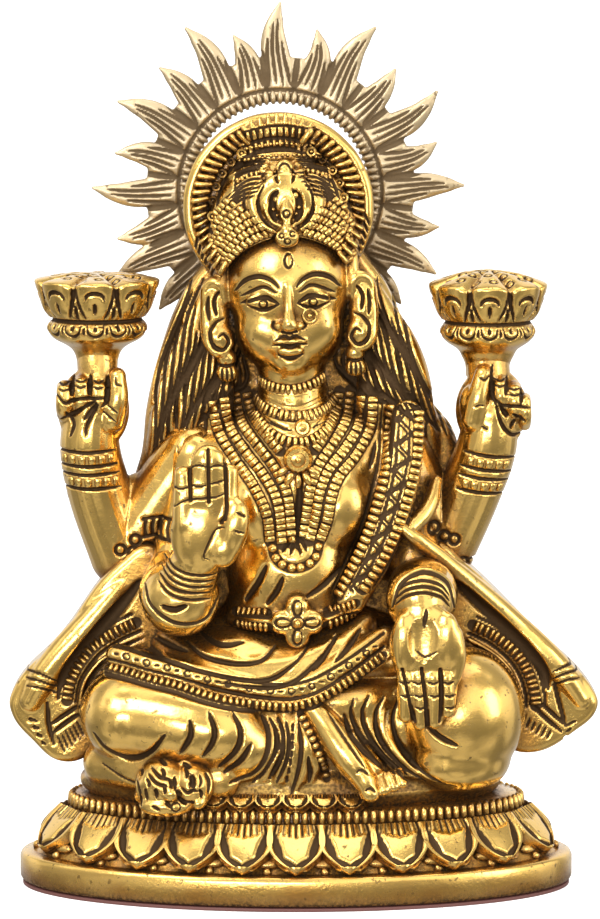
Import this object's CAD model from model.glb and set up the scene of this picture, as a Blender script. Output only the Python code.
"""A seated four-armed goddess on a lotus plinth, cast in brass, with a sun halo behind her crown.

The figure is drawn in millimetres in her own drawing and settled on the plinth at the end.
"""

import math

import bpy
import numpy as np
from mathutils import Matrix, Vector
from mathutils.bvhtree import BVHTree


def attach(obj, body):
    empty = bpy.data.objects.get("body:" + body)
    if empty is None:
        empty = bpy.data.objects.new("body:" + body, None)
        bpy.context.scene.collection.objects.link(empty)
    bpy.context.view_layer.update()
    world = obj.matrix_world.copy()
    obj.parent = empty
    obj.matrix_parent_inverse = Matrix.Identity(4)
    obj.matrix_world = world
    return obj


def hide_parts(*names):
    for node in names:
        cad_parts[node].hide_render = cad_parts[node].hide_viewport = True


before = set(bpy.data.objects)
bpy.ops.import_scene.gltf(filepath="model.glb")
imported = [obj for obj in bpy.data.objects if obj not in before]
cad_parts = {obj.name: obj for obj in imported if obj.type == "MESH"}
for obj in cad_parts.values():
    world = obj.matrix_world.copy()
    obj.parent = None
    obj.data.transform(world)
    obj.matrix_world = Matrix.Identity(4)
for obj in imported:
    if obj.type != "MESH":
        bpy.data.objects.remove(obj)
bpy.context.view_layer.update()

bl_info = {
    "name": "Seated Goddess Casting",
    "version": (1, 0, 0),
    "blender": (4, 5, 0),
    "location": "View3D > Sidebar > Goddess",
    "description": "Models a brass figure on a lotus plinth with a sun halo",
    "category": "Add Mesh",
}

MM = 0.001
SETTLE = 0.5  # the plinth's top lies this far below the one in the figure's drawing
BACK = 11.7  # the flat face behind the hair, where the halo is fixed
REACH = 60  # farther from the middle than any part, in front and behind
MOST_TRIANGLES = 190000  # in one piece
FRONT = Vector((0, -1, 0))


# Selecting and reading meshes


def only(*objects):
    bpy.ops.object.select_all(action="DESELECT")
    for obj in objects:
        obj.select_set(True)
    bpy.context.view_layer.objects.active = objects[0]


def corners(obj):
    flat = np.empty(len(obj.data.vertices) * 3)
    obj.data.vertices.foreach_get("co", flat)
    return flat.reshape(-1, 3)


def put_corners(obj, places):
    obj.data.vertices.foreach_set("co", np.asarray(places, float).ravel())
    obj.data.update()


def outward(obj):
    flat = np.empty(len(obj.data.vertices) * 3)
    obj.data.vertex_normals.foreach_get("vector", flat)
    return flat.reshape(-1, 3)


def made(name, places, faces):
    """A new object with these corners and faces, linked and selected."""
    mesh = bpy.data.meshes.new(name)
    mesh.from_pydata(places, [], faces)
    mesh.update()
    obj = bpy.data.objects.new(name, mesh)
    bpy.context.scene.collection.objects.link(obj)
    only(obj)
    return obj


def wall_faces(rows, count):
    """Faces between closed rows of corners, with count corners in each row."""
    faces = []
    for row in range(rows - 1):
        for k in range(count):
            a, b = row * count + k, row * count + (k + 1) % count
            faces.append((a, b, b + count, a + count))
    return faces


def finish_modifier(obj, kind, **settings):
    only(obj)
    modifier = obj.modifiers.new(kind.title(), kind)
    for name, value in settings.items():
        setattr(modifier, name, value)
    bpy.ops.object.modifier_apply(modifier=modifier.name)


def joined(parts, name):
    """Joins the parts into one object at the origin."""
    only(*parts)
    if len(parts) > 1:
        bpy.ops.object.join()
    bpy.ops.object.transform_apply(location=True, rotation=True, scale=True)
    obj = bpy.context.object
    obj.name = name
    obj.data.name = name
    return obj


# Solid forms


def ball(centre, radii, turn=(0, 0, 0)):
    bpy.ops.mesh.primitive_uv_sphere_add(
        segments=56,
        ring_count=36,
        location=centre,
        rotation=[math.radians(a) for a in turn],
        scale=radii,
    )
    return bpy.context.object


def bar(points, depth=1.0, ends=True, closed=False):
    """A round bar through (x, y, z, radius) points with round ends, flattened along Y by depth."""
    bpy.ops.curve.primitive_bezier_curve_add(location=(0, 0, 0))
    curve = bpy.context.object
    shape = curve.data
    spline = shape.splines[0]
    spline.bezier_points.add(len(points) - 2)
    for knot, (x, y, z, radius) in zip(spline.bezier_points, points):
        knot.co = (x, y, z)
        knot.radius = radius
        knot.handle_left_type = "AUTO"
        knot.handle_right_type = "AUTO"
    spline.use_cyclic_u = closed
    spline.radius_interpolation = "CARDINAL"
    shape.bevel_depth = 1
    shape.bevel_resolution = 10
    shape.resolution_u = 12
    shape.use_fill_caps = not closed
    only(curve)
    bpy.ops.object.convert(target="MESH")
    tube = bpy.context.object
    if depth != 1.0:
        ring = 24
        places = corners(tube).reshape(-1, ring, 3)
        middle = places[:, :, 1].mean(axis=1, keepdims=True)
        places[:, :, 1] = middle + (places[:, :, 1] - middle) * depth
        put_corners(tube, places)
    if closed or not ends:
        return [tube]
    caps = [ball((x, y, z), (r, r * depth, r)) for x, y, z, r in (points[0], points[-1])]
    return [tube, *caps]


def board(outline, front, back, bevel):
    """A plate seen from the front: an (x, z) outline, thick from front to back along Y."""
    bpy.ops.curve.primitive_bezier_circle_add(location=(0, 0, 0))
    curve = bpy.context.object
    shape = curve.data
    shape.dimensions = "2D"
    spline = shape.splines[0]
    spline.bezier_points.add(len(outline) - 4)
    for knot, (x, z) in zip(spline.bezier_points, outline):
        knot.co = (x, z, 0)
        knot.handle_left_type = "AUTO"
        knot.handle_right_type = "AUTO"
    shape.resolution_u = 8
    shape.fill_mode = "BOTH"
    shape.extrude = (back - front) / 2 - bevel
    shape.bevel_depth = bevel
    shape.bevel_resolution = 3
    shape.offset = -bevel
    curve.rotation_euler = (math.pi / 2, 0, 0)
    curve.location = (0, (front + back) / 2, 0)
    only(curve)
    bpy.ops.object.convert(target="MESH")
    return bpy.context.object


def fused(parts, name, grain, calm):
    """One skin round all the parts, on a grid of that grain, with its hollows calmed."""
    flat = []
    for part in parts:
        flat.extend(part if isinstance(part, list) else [part])
    obj = joined(flat, name)
    finish_modifier(obj, "REMESH", mode="VOXEL", voxel_size=grain, use_smooth_shade=True)
    finish_modifier(obj, "SMOOTH", factor=0.5, iterations=calm)
    return obj


def cut_back(obj, back=BACK):
    """Presses what stands out behind the flat face down to it."""
    places = corners(obj)
    places[:, 1] = np.minimum(places[:, 1], back)
    put_corners(obj, places)


# Carving


def even_path(points, step):
    """A smooth curve through the points, as points an even step apart."""
    knots = np.asarray(points, float)
    if len(knots) > 2:
        before = 2 * knots[0] - knots[1]
        after = 2 * knots[-1] - knots[-2]
        row = np.vstack([before, knots, after])
        share = np.linspace(0, 1, 12, endpoint=False)[:, None]
        runs = []
        for a, b, c, d in zip(row, row[1:], row[2:], row[3:]):
            runs.append(
                0.5
                * (
                    2 * b
                    + (c - a) * share
                    + (2 * a - 5 * b + 4 * c - d) * share**2
                    + (3 * b - a - 3 * c + d) * share**3
                )
            )
        knots = np.vstack([*runs, row[-2:-1]])
    gone = np.concatenate([[0], np.cumsum(np.linalg.norm(np.diff(knots, axis=0), axis=1))])
    count = max(int(round(gone[-1] / step)), 1) + 1
    wanted = np.linspace(0, gone[-1], count)
    return np.stack([np.interp(wanted, gone, knots[:, i]) for i in range(knots.shape[1])], axis=1)


def groove(points, half, depth, near=-REACH, far=REACH, taper=True, dark=1.0):
    """A cut that follows (x, z) points, between the depths near and far along Y."""
    return {
        "points": points,
        "half": half,
        "depth": depth,
        "near": near,
        "far": far,
        "taper": taper,
        "dark": dark,
    }


def ring_points(x, z, radius, count=12, squash=1.0):
    """A closed ring; its ends overlap, so that their taper doesn't show."""
    turn = [2 * math.pi * i / count for i in range(count + 3)]
    return [(x + radius * math.cos(a), z + radius * squash * math.sin(a)) for a in turn]


def grooves(lines, half, depth, **others):
    return [groove(points, half, depth, **others) for points in lines]


def flipped(lines, middle=0.0):
    """The same lines, mirrored across the upright line at middle."""
    return [[(2 * middle - x, *rest) for x, *rest in points] for points in lines]


def carve(obj, cuts, facing=0.25, side=-1, flat=None, seen=None):
    """Presses the skin in along its normals under each cut and notes where dark patina settles.

    Cuts are drawn on the front view, or on a flat map that is given with the corners seen on it.
    """
    places = corners(obj)
    normals = outward(obj)
    if flat is None:
        flat = places[:, (0, 2)]
        seen = normals[:, 1] * side > -facing
    dent = np.zeros(len(places))
    dark = patina_of(obj)
    for cut in cuts:
        half = cut["half"]
        line = even_path(cut["points"], min(0.5 * half, 0.4))
        low = line.min(axis=0) - half
        high = line.max(axis=0) + half
        pick = np.nonzero(
            seen
            & (flat[:, 0] > low[0])
            & (flat[:, 0] < high[0])
            & (flat[:, 1] > low[1])
            & (flat[:, 1] < high[1])
            & (places[:, 1] > cut["near"])
            & (places[:, 1] < cut["far"])
        )[0]
        if len(pick) == 0:
            continue
        reach = np.linalg.norm(flat[pick][:, None, :] - line[None, :, :], axis=2)
        nearest = reach.argmin(axis=1)
        off = reach.min(axis=1)
        width = np.full(len(pick), half)
        if cut["taper"]:
            share = nearest / max(len(line) - 1, 1)
            width = half * (0.25 + 0.75 * np.sqrt(np.clip(4 * share * (1 - share), 0, 1)))
        shape = np.clip(1 - (off / width) ** 2, 0, 1)
        dent[pick] = np.maximum(dent[pick], cut["depth"] * shape * (width / half))
        dark[pick] = np.maximum(dark[pick], cut["dark"] * np.clip(1.6 * shape, 0, 1))
    put_corners(obj, places - normals * dent[:, None])
    put_patina(obj, dark)


def patina_of(obj):
    values = np.zeros(len(obj.data.vertices))
    attribute = obj.data.attributes.get("patina")
    if attribute:
        attribute.data.foreach_get("value", values)
    return values


def put_patina(obj, values):
    attribute = obj.data.attributes.get("patina")
    if attribute is None:
        attribute = obj.data.attributes.new("patina", "FLOAT", "POINT")
    attribute.data.foreach_set("value", np.asarray(values, float))
    obj.data.update()


# Small ornaments laid along a surface


def pattern(obj):
    """Takes a small modelled shape away and keeps its corners, faces and patina."""
    shape = (corners(obj).copy(), [tuple(p.vertices) for p in obj.data.polygons], patina_of(obj))
    bpy.data.objects.remove(obj)
    return shape


def small_block(width, length, height, round_off=0.35):
    bpy.ops.mesh.primitive_cube_add(size=1, location=(0, 0, 0), scale=(length, width, height))
    block = bpy.context.object
    bpy.ops.object.transform_apply(location=False, rotation=False, scale=True)
    edge = min(width, length, height) * round_off
    finish_modifier(block, "BEVEL", width=edge, segments=1, limit_method="NONE")
    return pattern(block)


def small_bead(width, length, height, across=12, up=8):
    bpy.ops.mesh.primitive_uv_sphere_add(
        segments=across, ring_count=up, radius=0.5, location=(0, 0, 0), scale=(length, width, height)
    )
    bpy.ops.object.transform_apply(location=False, rotation=False, scale=True)
    return pattern(bpy.context.object)


def small_ring(radius, wire, across, around):
    bpy.ops.mesh.primitive_torus_add(
        major_radius=radius,
        minor_radius=wire,
        major_segments=across,
        minor_segments=around,
        location=(0, 0, 0),
    )
    return pattern(bpy.context.object)


class Tray:
    """Collects copies of small shapes and makes one object of them."""

    def __init__(self):
        self.places = []
        self.faces = []
        self.patina = []
        self.count = 0

    def add(self, shape, matrix, size=1.0):
        points, faces, patina = shape
        turned = np.asarray(matrix.to_3x3()) * size
        self.places.append(points @ turned.T + np.asarray(matrix.translation))
        self.faces.extend([tuple(i + self.count for i in face) for face in faces])
        self.patina.append(patina)
        self.count += len(points)

    def make(self, name):
        obj = made(name, np.vstack(self.places).tolist(), self.faces)
        put_patina(obj, np.concatenate(self.patina))
        bpy.ops.object.shade_smooth_by_angle(angle=math.radians(50))
        return obj


def facing_matrix(place, normal, along):
    """X runs along the path, Z stands out of the surface."""
    up = Vector(normal).normalized()
    ahead = Vector(along)
    ahead = (ahead - up * ahead.dot(up)).normalized()
    side = up.cross(ahead)
    matrix = Matrix((ahead, side, up)).transposed().to_4x4()
    matrix.translation = place
    return matrix


def skin_of(*objects):
    """One search tree over the objects' skins, in the drawing's millimetres."""
    places = []
    faces = []
    count = 0
    for obj in objects:
        points = corners(obj)
        places.extend(points.tolist())
        faces.extend([tuple(i + count for i in p.vertices) for p in obj.data.polygons])
        count += len(points)
    return BVHTree.FromPolygons(places, faces)


def front_hit(skin, x, z):
    """Where a line from the front first meets the skin, and the skin's normal there."""
    place, normal, _, _ = skin.ray_cast(Vector((x, -REACH, z)), Vector((0, 1, 0)))
    return place, normal


def lay(tray, skin, shape, points, pitch, lift=0.0, flat=0.35, turn=0.0):
    """Lays copies of a shape along (x, z) points on the front of a skin.

    flat turns them from the skin's own normal, at 0, towards the front, at 1.
    """
    line = even_path(points, 0.25)
    hits = []
    for x, z in line:
        place, normal = front_hit(skin, x, z)
        if place is not None:
            hits.append((place, normal))
    if len(hits) < 3:
        raise RuntimeError(f"a row of ornaments misses the surface near {points[0]}")
    depth = np.array([h[0].y for h in hits])
    smooth = np.convolve(np.pad(depth, 4, mode="edge"), np.ones(9) / 9, mode="valid")
    rows = np.array([(h[0].x, y, h[0].z) for h, y in zip(hits, smooth)])
    gone = np.concatenate([[0], np.cumsum(np.linalg.norm(np.diff(rows, axis=0), axis=1))])
    count = max(int(round(gone[-1] / pitch)), 1)
    for k in range(count):
        wanted = gone[-1] * (k + 0.5) / count
        i = min(int(np.searchsorted(gone, wanted)), len(rows) - 1)
        ahead = rows[min(i + 3, len(rows) - 1)] - rows[max(i - 3, 0)]
        normal = hits[i][1].lerp(FRONT, flat)
        if turn:
            spin = Matrix.Rotation(math.radians(turn), 3, normal.normalized())
            ahead = spin @ Vector(ahead)
        place = Vector(rows[i]) + normal.normalized() * lift
        tray.add(shape, facing_matrix(place, normal, ahead))


def stud(tray, skin, shape, x, z, lift=0.0, size=1.0, flat=0.5, ahead=(1, 0, 0)):
    """One small shape on the front of a skin."""
    place, normal = front_hit(skin, x, z)
    if place is None:
        raise RuntimeError(f"a stud misses the surface at {x}, {z}")
    normal = normal.lerp(FRONT, flat)
    tray.add(shape, facing_matrix(place + normal.normalized() * lift, normal, ahead), size)


def strung(obj, rows):
    """Lays rows of small shapes on an object's skin, each over a darkened bed.

    A row is its points, its shape, the pitch, half the bed's width and any more settings of lay.
    """
    carve(obj, [groove(row[0], row[3], 0.25, taper=False) for row in rows if row[3]])
    keep_under(obj)
    skin = skin_of(obj)
    tray = Tray()
    for points, shape, pitch, _, *more in rows:
        lay(tray, skin, shape, points, pitch, **(more[0] if more else {}))
    return tray, skin


def settle(obj, drop=SETTLE):
    """From the drawing's millimetres to metres in the frame."""
    places = corners(obj)
    places[:, 2] -= drop
    put_corners(obj, places * MM)


def keep_under(obj):
    """Thins a skin out where it is plain, if it has too many triangles."""
    count = sum(len(p.vertices) - 2 for p in obj.data.polygons)
    if count > MOST_TRIANGLES:
        finish_modifier(obj, "DECIMATE", ratio=MOST_TRIANGLES / count)


def dress(obj, material):
    obj.data.materials.clear()
    obj.data.materials.append(material)
    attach(obj, "root")


# The figure's forms, in the drawing's millimetres

NECK = (-0.6, 0.0, 98.3)
HEAD_TILT = -2.5
CROWN = (-1.2, 38.9)
CROWN_RADIUS = 19.0
CAP_MIDDLE = (-0.6, 1.4, 31.5)
CAP_RADII = (15.4, 10.4, 18.5)
FACE_WINDOW = (0.1, 19)  # middle of the opening over the face
CHIN = 6.4
THIRD = 9.2  # hairline to brow, brow to the foot of the nose, and on to the chin


def head_place():
    tilt = Matrix.Rotation(math.radians(HEAD_TILT), 4, "Y")
    return Matrix.Translation(NECK) @ tilt


def face_forms():
    brow = CHIN + 2 * THIRD
    nose = CHIN + THIRD
    eyes = brow - 0.37 * THIRD
    mouth = nose - THIRD / 3
    masses = [
        ball((0, 0.4, 23.8), (12.7, 10.9, 13.2)),
        ball((0, -0.2, 14.6), (11.0, 9.7, 8.8)),
        ball((0, -6.2, CHIN + 2.3), (3.6, 2.8, 2.4)),
        bar([(0, 0.5, -5, 8.4), (0, 0.4, -1, 7.2), (0, 0, 9, 6.8)]),
        ball((-4.8, -4.1, nose + 0.3), (5.6, 4.9, 6.2)),
        ball((4.8, -4.1, nose + 0.3), (5.6, 4.9, 6.2)),
    ]
    parts = [
        fused(masses, "face_masses", 0.55, 22),
        bar([(0, -10.0, brow - 0.6, 0.85), (0, -10.9, brow - 5.0, 0.95), (0, -11.9, nose + 1.6, 1.4)]),
        ball((0, -11.9, nose + 1.1), (1.75, 1.35, 1.2)),
        ball((0, -9.3, mouth - 1.1), (2.6, 1.15, 1.05)),
    ]
    for side in (-1, 1):
        parts += [
            ball((side * 1.9, -10.5, nose + 0.9), (1.15, 1.3, 1.0)),
            ball((side * 1.3, -9.4, mouth + 0.85), (2.1, 1.0, 0.75)),
            ball((side * 5.0, -8.7, eyes), (3.4, 1.5, 1.75)),
            bar(
                [
                    (side * 1.8, -9.7, brow - 0.8, 0.6),
                    (side * 5.5, -9.0, brow + 0.9, 0.75),
                    (side * 9.8, -6.4, brow - 1.2, 0.5),
                ]
            ),
        ]
    return parts


def face_cuts():
    """Brows, lids, irises, nose and lips, engraved as on a cast idol."""
    brow = CHIN + 2 * THIRD
    nose = CHIN + THIRD
    eyes = brow - 0.37 * THIRD
    mouth = nose - THIRD / 3
    lines = [
        (
            [(1.6, brow - 0.9), (3.2, brow + 0.9), (5.6, brow + 1.7), (8.4, brow + 0.9), (10.6, brow - 1.4)],
            0.55, 0.55
        ),
        ([(2.1, eyes + 1.6), (5.0, eyes + 2.9), (9.4, eyes + 1.1)], 0.45, 0.45),
        ([(1.8, eyes - 0.6), (4.9, eyes + 1.0), (9.4, eyes - 0.3)], 0.6, 0.75),
        ([(2.0, eyes - 0.7), (5.0, eyes - 1.75), (8.4, eyes - 0.6)], 0.5, 0.6),
        (ring_points(4.9, eyes - 0.45, 0.8), 0.3, 0.45),
        ([(3.0, nose + 2.0), (3.2, nose + 0.8), (2.4, nose)], 0.4, 0.5),
    ]
    cuts = []
    for points, half, depth in lines:
        cuts += grooves([points, *flipped([points])], half, depth, far=-1.5)
    lip = [(-3.5, mouth), (-1.6, mouth + 0.2), (0, mouth - 0.2), (1.6, mouth + 0.2), (3.5, mouth)]
    upper_lip = [
        (-3.2, mouth + 1.0), (-1.1, mouth + 1.95), (0, mouth + 1.5), (1.1, mouth + 1.95), (3.2, mouth + 1.0),
    ]
    cuts += [
        groove(lip, 0.42, 0.7),
        groove([(-2.6, mouth - 1.9), (0, mouth - 2.6), (2.6, mouth - 1.9)], 0.5, 0.5),
        groove(upper_lip, 0.36, 0.35),
        groove([(-1.8, nose - 0.2), (0, nose - 0.5), (1.8, nose - 0.2)], 0.4, 0.4),
        groove(ring_points(0.4, 29.3, 0.78, 14, 1.75), 0.32, 0.45, far=0),
    ]
    # Inside the ears, and the curl of each lobe
    inner = [
        [(13.6, 23.4), (14.7, 21.2), (14.3, 18.2)],
        [(15.8, 22.4), (16.2, 20.0), (15.9, 17.4)],
        [
            (12.8, 17.8), (14.4, 17.2), (15.9, 15.2), (15.3, 12.6), (13.4, 11.7), (12.1, 13.2), (13.0, 14.8),
            (14.2, 14.2)
        ],
    ]
    cuts += grooves(inner + flipped(inner), 0.52, 0.75)
    # Ribs and tops of the ear pendants, and the crease of the throat
    for side in (-1, 1):
        for k in (-1, 0, 1):
            x = side * 12.8 + 1.0 * k
            cuts.append(groove([(x, 8.2), (x + 0.1 * k, 5.4)], 0.36, 0.5))
        x = side * 12.8
        cuts.append(groove([(x - 2.0, 8.7), (x, 8.4), (x + 2.0, 8.7)], 0.34, 0.6))
    cuts.append(groove([(-7.4, 3.2), (0, 1.4), (7.4, 3.2)], 0.35, 0.45))
    return cuts


def cap_front(x, z):
    """The Y of the cap's front."""
    share = 1 - ((x - CAP_MIDDLE[0]) / CAP_RADII[0]) ** 2 - ((z - CAP_MIDDLE[2]) / CAP_RADII[2]) ** 2
    return CAP_MIDDLE[1] - CAP_RADII[1] * math.sqrt(max(share, 0.0))


def crown_point(radius, angle):
    """A point of the crown's face, by its angle from upright."""
    return (CROWN[0] + radius * math.sin(angle), CROWN[1] + radius * math.cos(angle))


def cap_band(across, up, start, end, side):
    """Points of a band that frames the face on one side, from start to end in degrees."""
    x, z = FACE_WINDOW
    turn = np.radians(np.linspace(start, end, 14)) * side
    return [(x + across * math.sin(t), z + up * math.cos(t)) for t in turn]


def crest_forms():
    """The upright crest in front of the cap: a flame in a ring of leaves, over a small gourd."""
    parts = [ball((0.4, cap_front(0, 38) + 0.8, 40.6), (6.0, 1.5, 6.0))]

    flame = [
        (0.6, 44.6, 0.6), (0.7, 42.6, 0.5), (0.5, 40.4, 1.0),
        (0.4, 38.7, 1.4), (0.4, 36.9, 0.8), (0.35, 35.4, 1.3),
    ]

    def strip(points, lift):
        return bar([(x, cap_front(x, z) - lift, z, r) for x, z, r in points], depth=0.8)

    for side in (-1, 1):
        leaf = [(4.6, 44.9, 0.7), (6.1, 42.6, 1.1), (6.3, 39.8, 1.15), (5.1, 37.0, 1.0), (2.9, 35.4, 0.6)]
        rim = [
            (1.4, 45.2, 0.5), (3.0, 43.8, 0.5), (4.1, 41.6, 0.45),
            (4.0, 39.4, 0.45), (3.0, 37.4, 0.5), (1.3, 36.2, 0.4),
        ]
        lobe = [(2.4, 44.8, 0.8), (3.0, 46.0, 1.15), (3.2, 47.0, 0.6)]
        for points, lift in ((leaf, 0.5), (rim, 0.9), (lobe, 0.9)):
            parts.append(strip([(0.4 + side * x, z, r) for x, z, r in points], lift))
    parts += [
        ball((0.4, cap_front(0.4, 46) - 0.9, 47.0), (1.9, 1.6, 2.1)),
        strip(flame, 1.2),
        ball((0.3, cap_front(0.3, 34) - 0.7, 33.9), (2.5, 1.6, 2.0)),
    ]
    return parts


def crest_cuts():
    cuts = [
        groove(ring_points(0.4, 38.6, 0.75), 0.3, 0.5),
        groove([(-0.9, 46.8), (-0.5, 47.9), (0.4, 48.4), (1.3, 47.9), (1.7, 46.8)], 0.32, 0.5),
        groove([(-1.9, 34.9), (-2.4, 33.6), (-1.5, 32.5)], 0.4, 0.5),
    ]
    dots = ((-0.8, 34.4, 0.5), (1.5, 34.7, 0.5), (0.4, 33.2, 0.6))
    cuts += grooves([ring_points(*dot) for dot in dots], 0.24, 0.4)
    fields = [[(1.5, 43.2), (2.5, 41.8), (2.7, 40.0), (2.3, 38.2), (1.5, 37.0)]]
    halves = [
        [(8.1, 43.4), (8.3, 39.8), (6.6, 36.4), (3.8, 34.4)],
        [(4.2, 44.4), (5.4, 42.0), (5.3, 39.4), (4.2, 37.2), (2.4, 35.6)],
        [(1.6, 47.2), (1.8, 45.8), (1.3, 44.4)],
        [(4.4, 46.4), (4.0, 44.8)],
    ]
    for lines, half, depth in ((fields, 0.95, 1.0), (halves, 0.4, 0.8)):
        lines = [[(0.4 + x, z) for x, z in points] for points in lines]
        cuts += grooves(lines + flipped(lines, 0.4), half, depth, far=0)
    return cuts


def ear_forms(side):
    rim = [
        (12.6, -2.6, 21.6, 1.2), (13.6, -3.0, 24.8, 1.3), (15.6, -2.6, 24.6, 1.1), (16.4, -2.2, 20.5, 1.2),
        (16.4, -2.6, 16.0, 1.3), (15.8, -3.2, 12.6, 1.3), (13.8, -3.6, 11.2, 1.3), (12.2, -3.4, 12.8, 1.1),
    ]
    temple = [(12.9, -1.8, 29.0, 1.3), (12.9, -2.6, 26.2, 1.3), (12.2, -2.6, 23.0, 1.2)]
    return [
        *bar([(side * x, *rest) for x, *rest in rim]),
        ball((side * 14.6, -2.2, 18.6), (2.7, 2.0, 7.4), (0, side * 3, 0)),
        ball((side * 14.2, -3.0, 14.0), (3.0, 1.9, 3.2)),
        # Hair at the temple, and the ear pendant
        *bar([(side * x, *rest) for x, *rest in temple]),
        ball((side * 12.8, -2.6, 9.8), (2.0, 1.9, 2.0)),
        ball((side * 12.8, -2.8, 6.9), (2.2, 2.0, 1.9)),
    ]


def cap_dome():
    """The cap's dome, open over the face along the hairline."""
    dome = ball(CAP_MIDDLE, CAP_RADII)
    x, z = FACE_WINDOW
    bpy.ops.mesh.primitive_cylinder_add(
        vertices=96,
        radius=1,
        depth=1,
        location=(x, -17, z),
        rotation=(math.pi / 2, 0, 0),
        scale=(14.6, 15.0, 30),
    )
    window = bpy.context.object
    finish_modifier(dome, "BOOLEAN", operation="DIFFERENCE", object=window, solver="FAST")
    bpy.data.objects.remove(window)
    return dome


def cap_forms():
    cx, cz = CROWN
    disc = bar([(cx, 1.9, cz, CROWN_RADIUS - 1), (cx, 6.2, cz, CROWN_RADIUS - 1)], ends=False)
    rim = []
    for k in range(16):
        x, z = crown_point(17.7, 2 * math.pi * k / 16)
        rim.append((x, 2.0, z, 1.3))
    parts = []
    tie = ((10.2, 45.6, 0.6), (6.6, 47.0, 0.8), (3.0, 47.6, 0.7))
    for side in (-1, 1):
        parts.append(bar([(side * x - 0.2, cap_front(side * x, z) - 0.1, z, r) for x, z, r in tie]))
    for k in range(-4, 5):
        top = 57.6 - 0.14 * k * k
        root = (0.9 * k - 0.7, -0.4, 51.4, 0.7)
        parts.append(bar([root, (1.45 * k - 0.7, -1.5, 54.0, 0.95), (1.7 * k - 0.7, -1.0, top, 0.45)]))
    return [
        cap_dome(),
        disc,
        bar(rim, closed=True),
        bar([(cx, 6.0, cz, CROWN_RADIUS - 1.4), (cx, 6.6, cz, CROWN_RADIUS - 2.4)], ends=False),
        ball((-0.9, 0.8, 53.8), (6.8, 2.2, 3.2)),
        ball((-0.9, 0.4, 51.4), (7.8, 2.8, 2.2)),
        ball((-0.6, -0.2, 49.2), (8.6, 3.0, 2.0)),
        *parts,
        *crest_forms(),
    ]


def cap_cuts():
    """Dark lines between the cap's bands and round the crown."""
    bands = []
    for k in range(8):
        for side in (-1, 1):
            bands.append(cap_band(14.9 + 0.8 * k, 15.3 + 1.75 * k, 10 + 3 * k, 78, side))
    cuts = grooves(bands, 0.36, 0.45, far=1)
    arc = np.radians(np.linspace(-118, 118, 60))
    cuts += grooves(
        [[crown_point(radius, t) for t in arc] for radius in (14.1, 12.2)], 0.42, 0.5, taper=False
    )
    strands = []
    for k in range(6):
        x = -6.8 - 0.5 * k
        strands.append([(-3.0 - 0.5 * k, 46.4 - 0.8 * k), (x, 46.0 - k), (-9.8 - 0.5 * k, 44.0 - 1.2 * k)])
        x = -6.8 - 0.4 * k
        strands.append([(-2.4 - 0.4 * k, 49.6 - 0.5 * k), (x, 49.4 - 0.7 * k), (-9.8, 47.6 - 0.9 * k)])
    cuts += grooves(strands + flipped(strands, -0.2), 0.34, 0.5)
    for z in (50.4, 55.2):
        cuts.append(groove([(-8.0, z - 0.7), (-0.8, z + 0.3), (6.6, z - 0.7)], 0.35, 0.6))
    for k in range(-5, 6):
        top = (1.3 * k - 0.8, 54.9 - 0.02 * k * k)
        cuts.append(groove([top, (1.2 * k - 0.8, 51.0 - 0.03 * k * k)], 0.34, 0.75, taper=False))
    return cuts


def cap_trim(skin):
    """Bricks in the cap's bands, the crown's flutes, and its rings and beads."""
    tray = Tray()
    brick = small_block(1.6, 1.0, 0.8, 0.24)
    for k in range(7):
        for side in (-1, 1):
            points = cap_band(15.3 + 0.8 * k, 16.2 + 1.75 * k, 12 + 3.4 * k, 75 - k, side)
            points = [(x, z) for x, z in points if cap_front(x, z) < -2.2]
            if len(points) > 2:
                lay(tray, skin, brick, points, 1.18, lift=0.1, turn=-20 * side)
    flute = small_block(1.15, 3.9, 2.2, 0.4)
    for k in range(-23, 24):
        if abs(k) < 4:
            continue
        t = 2 * math.pi * k / 62
        lean = math.copysign(0.3, k)
        ahead = (math.sin(t + lean), 0, math.cos(t + lean))
        size = 0.85 if abs(k) > 14 else 1.0
        stud(tray, skin, flute, *crown_point(15.6, t), lift=1.1, flat=0.9, size=size, ahead=ahead)
    ring = small_ring(0.8, 0.26, 12, 5)
    pea = small_bead(0.8, 0.8, 0.8, 8, 5)
    for k in range(-8, 9):
        t = math.radians(7 + 12.6 * k)
        if abs(math.sin(t)) < 0.5:
            continue
        for shape, lift in ((ring, 0.2), (pea, 0.15)):
            stud(tray, skin, shape, *crown_point(13.1, t), lift=lift, flat=0.9)
    lay(tray, skin, pea, [(-8.2, 50.9), (-4, 51.6), (-0.6, 51.9), (3.4, 51.5), (7.0, 50.8)], 1.0, lift=0.15)
    lay(tray, skin, pea, [(-8.8, 48.8), (-4, 49.4), (-0.6, 49.6), (3.4, 49.4), (7.8, 48.8)], 1.15, lift=0.1)
    small = small_block(1.3, 0.75, 0.8, 0.3)
    for side in (-1, 1):
        lay(tray, skin, small, [(side * 9.6, 44.6), (side * 6.4, 45.9), (side * 4.6, 46.3)], 1.0, lift=0.1)
    peas = [
        (-1.5, 41.4, 1.6), (2.3, 42.0, 1.9), (2.9, 39.6, 1.3),
        (-2.1, 39.4, 1.3), (2.3, 38.4, 1.0), (-1.4, 38.2, 1.0),
    ]
    for x, z, size in peas:
        stud(tray, skin, pea, x, z, size=size)
    return tray


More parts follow.
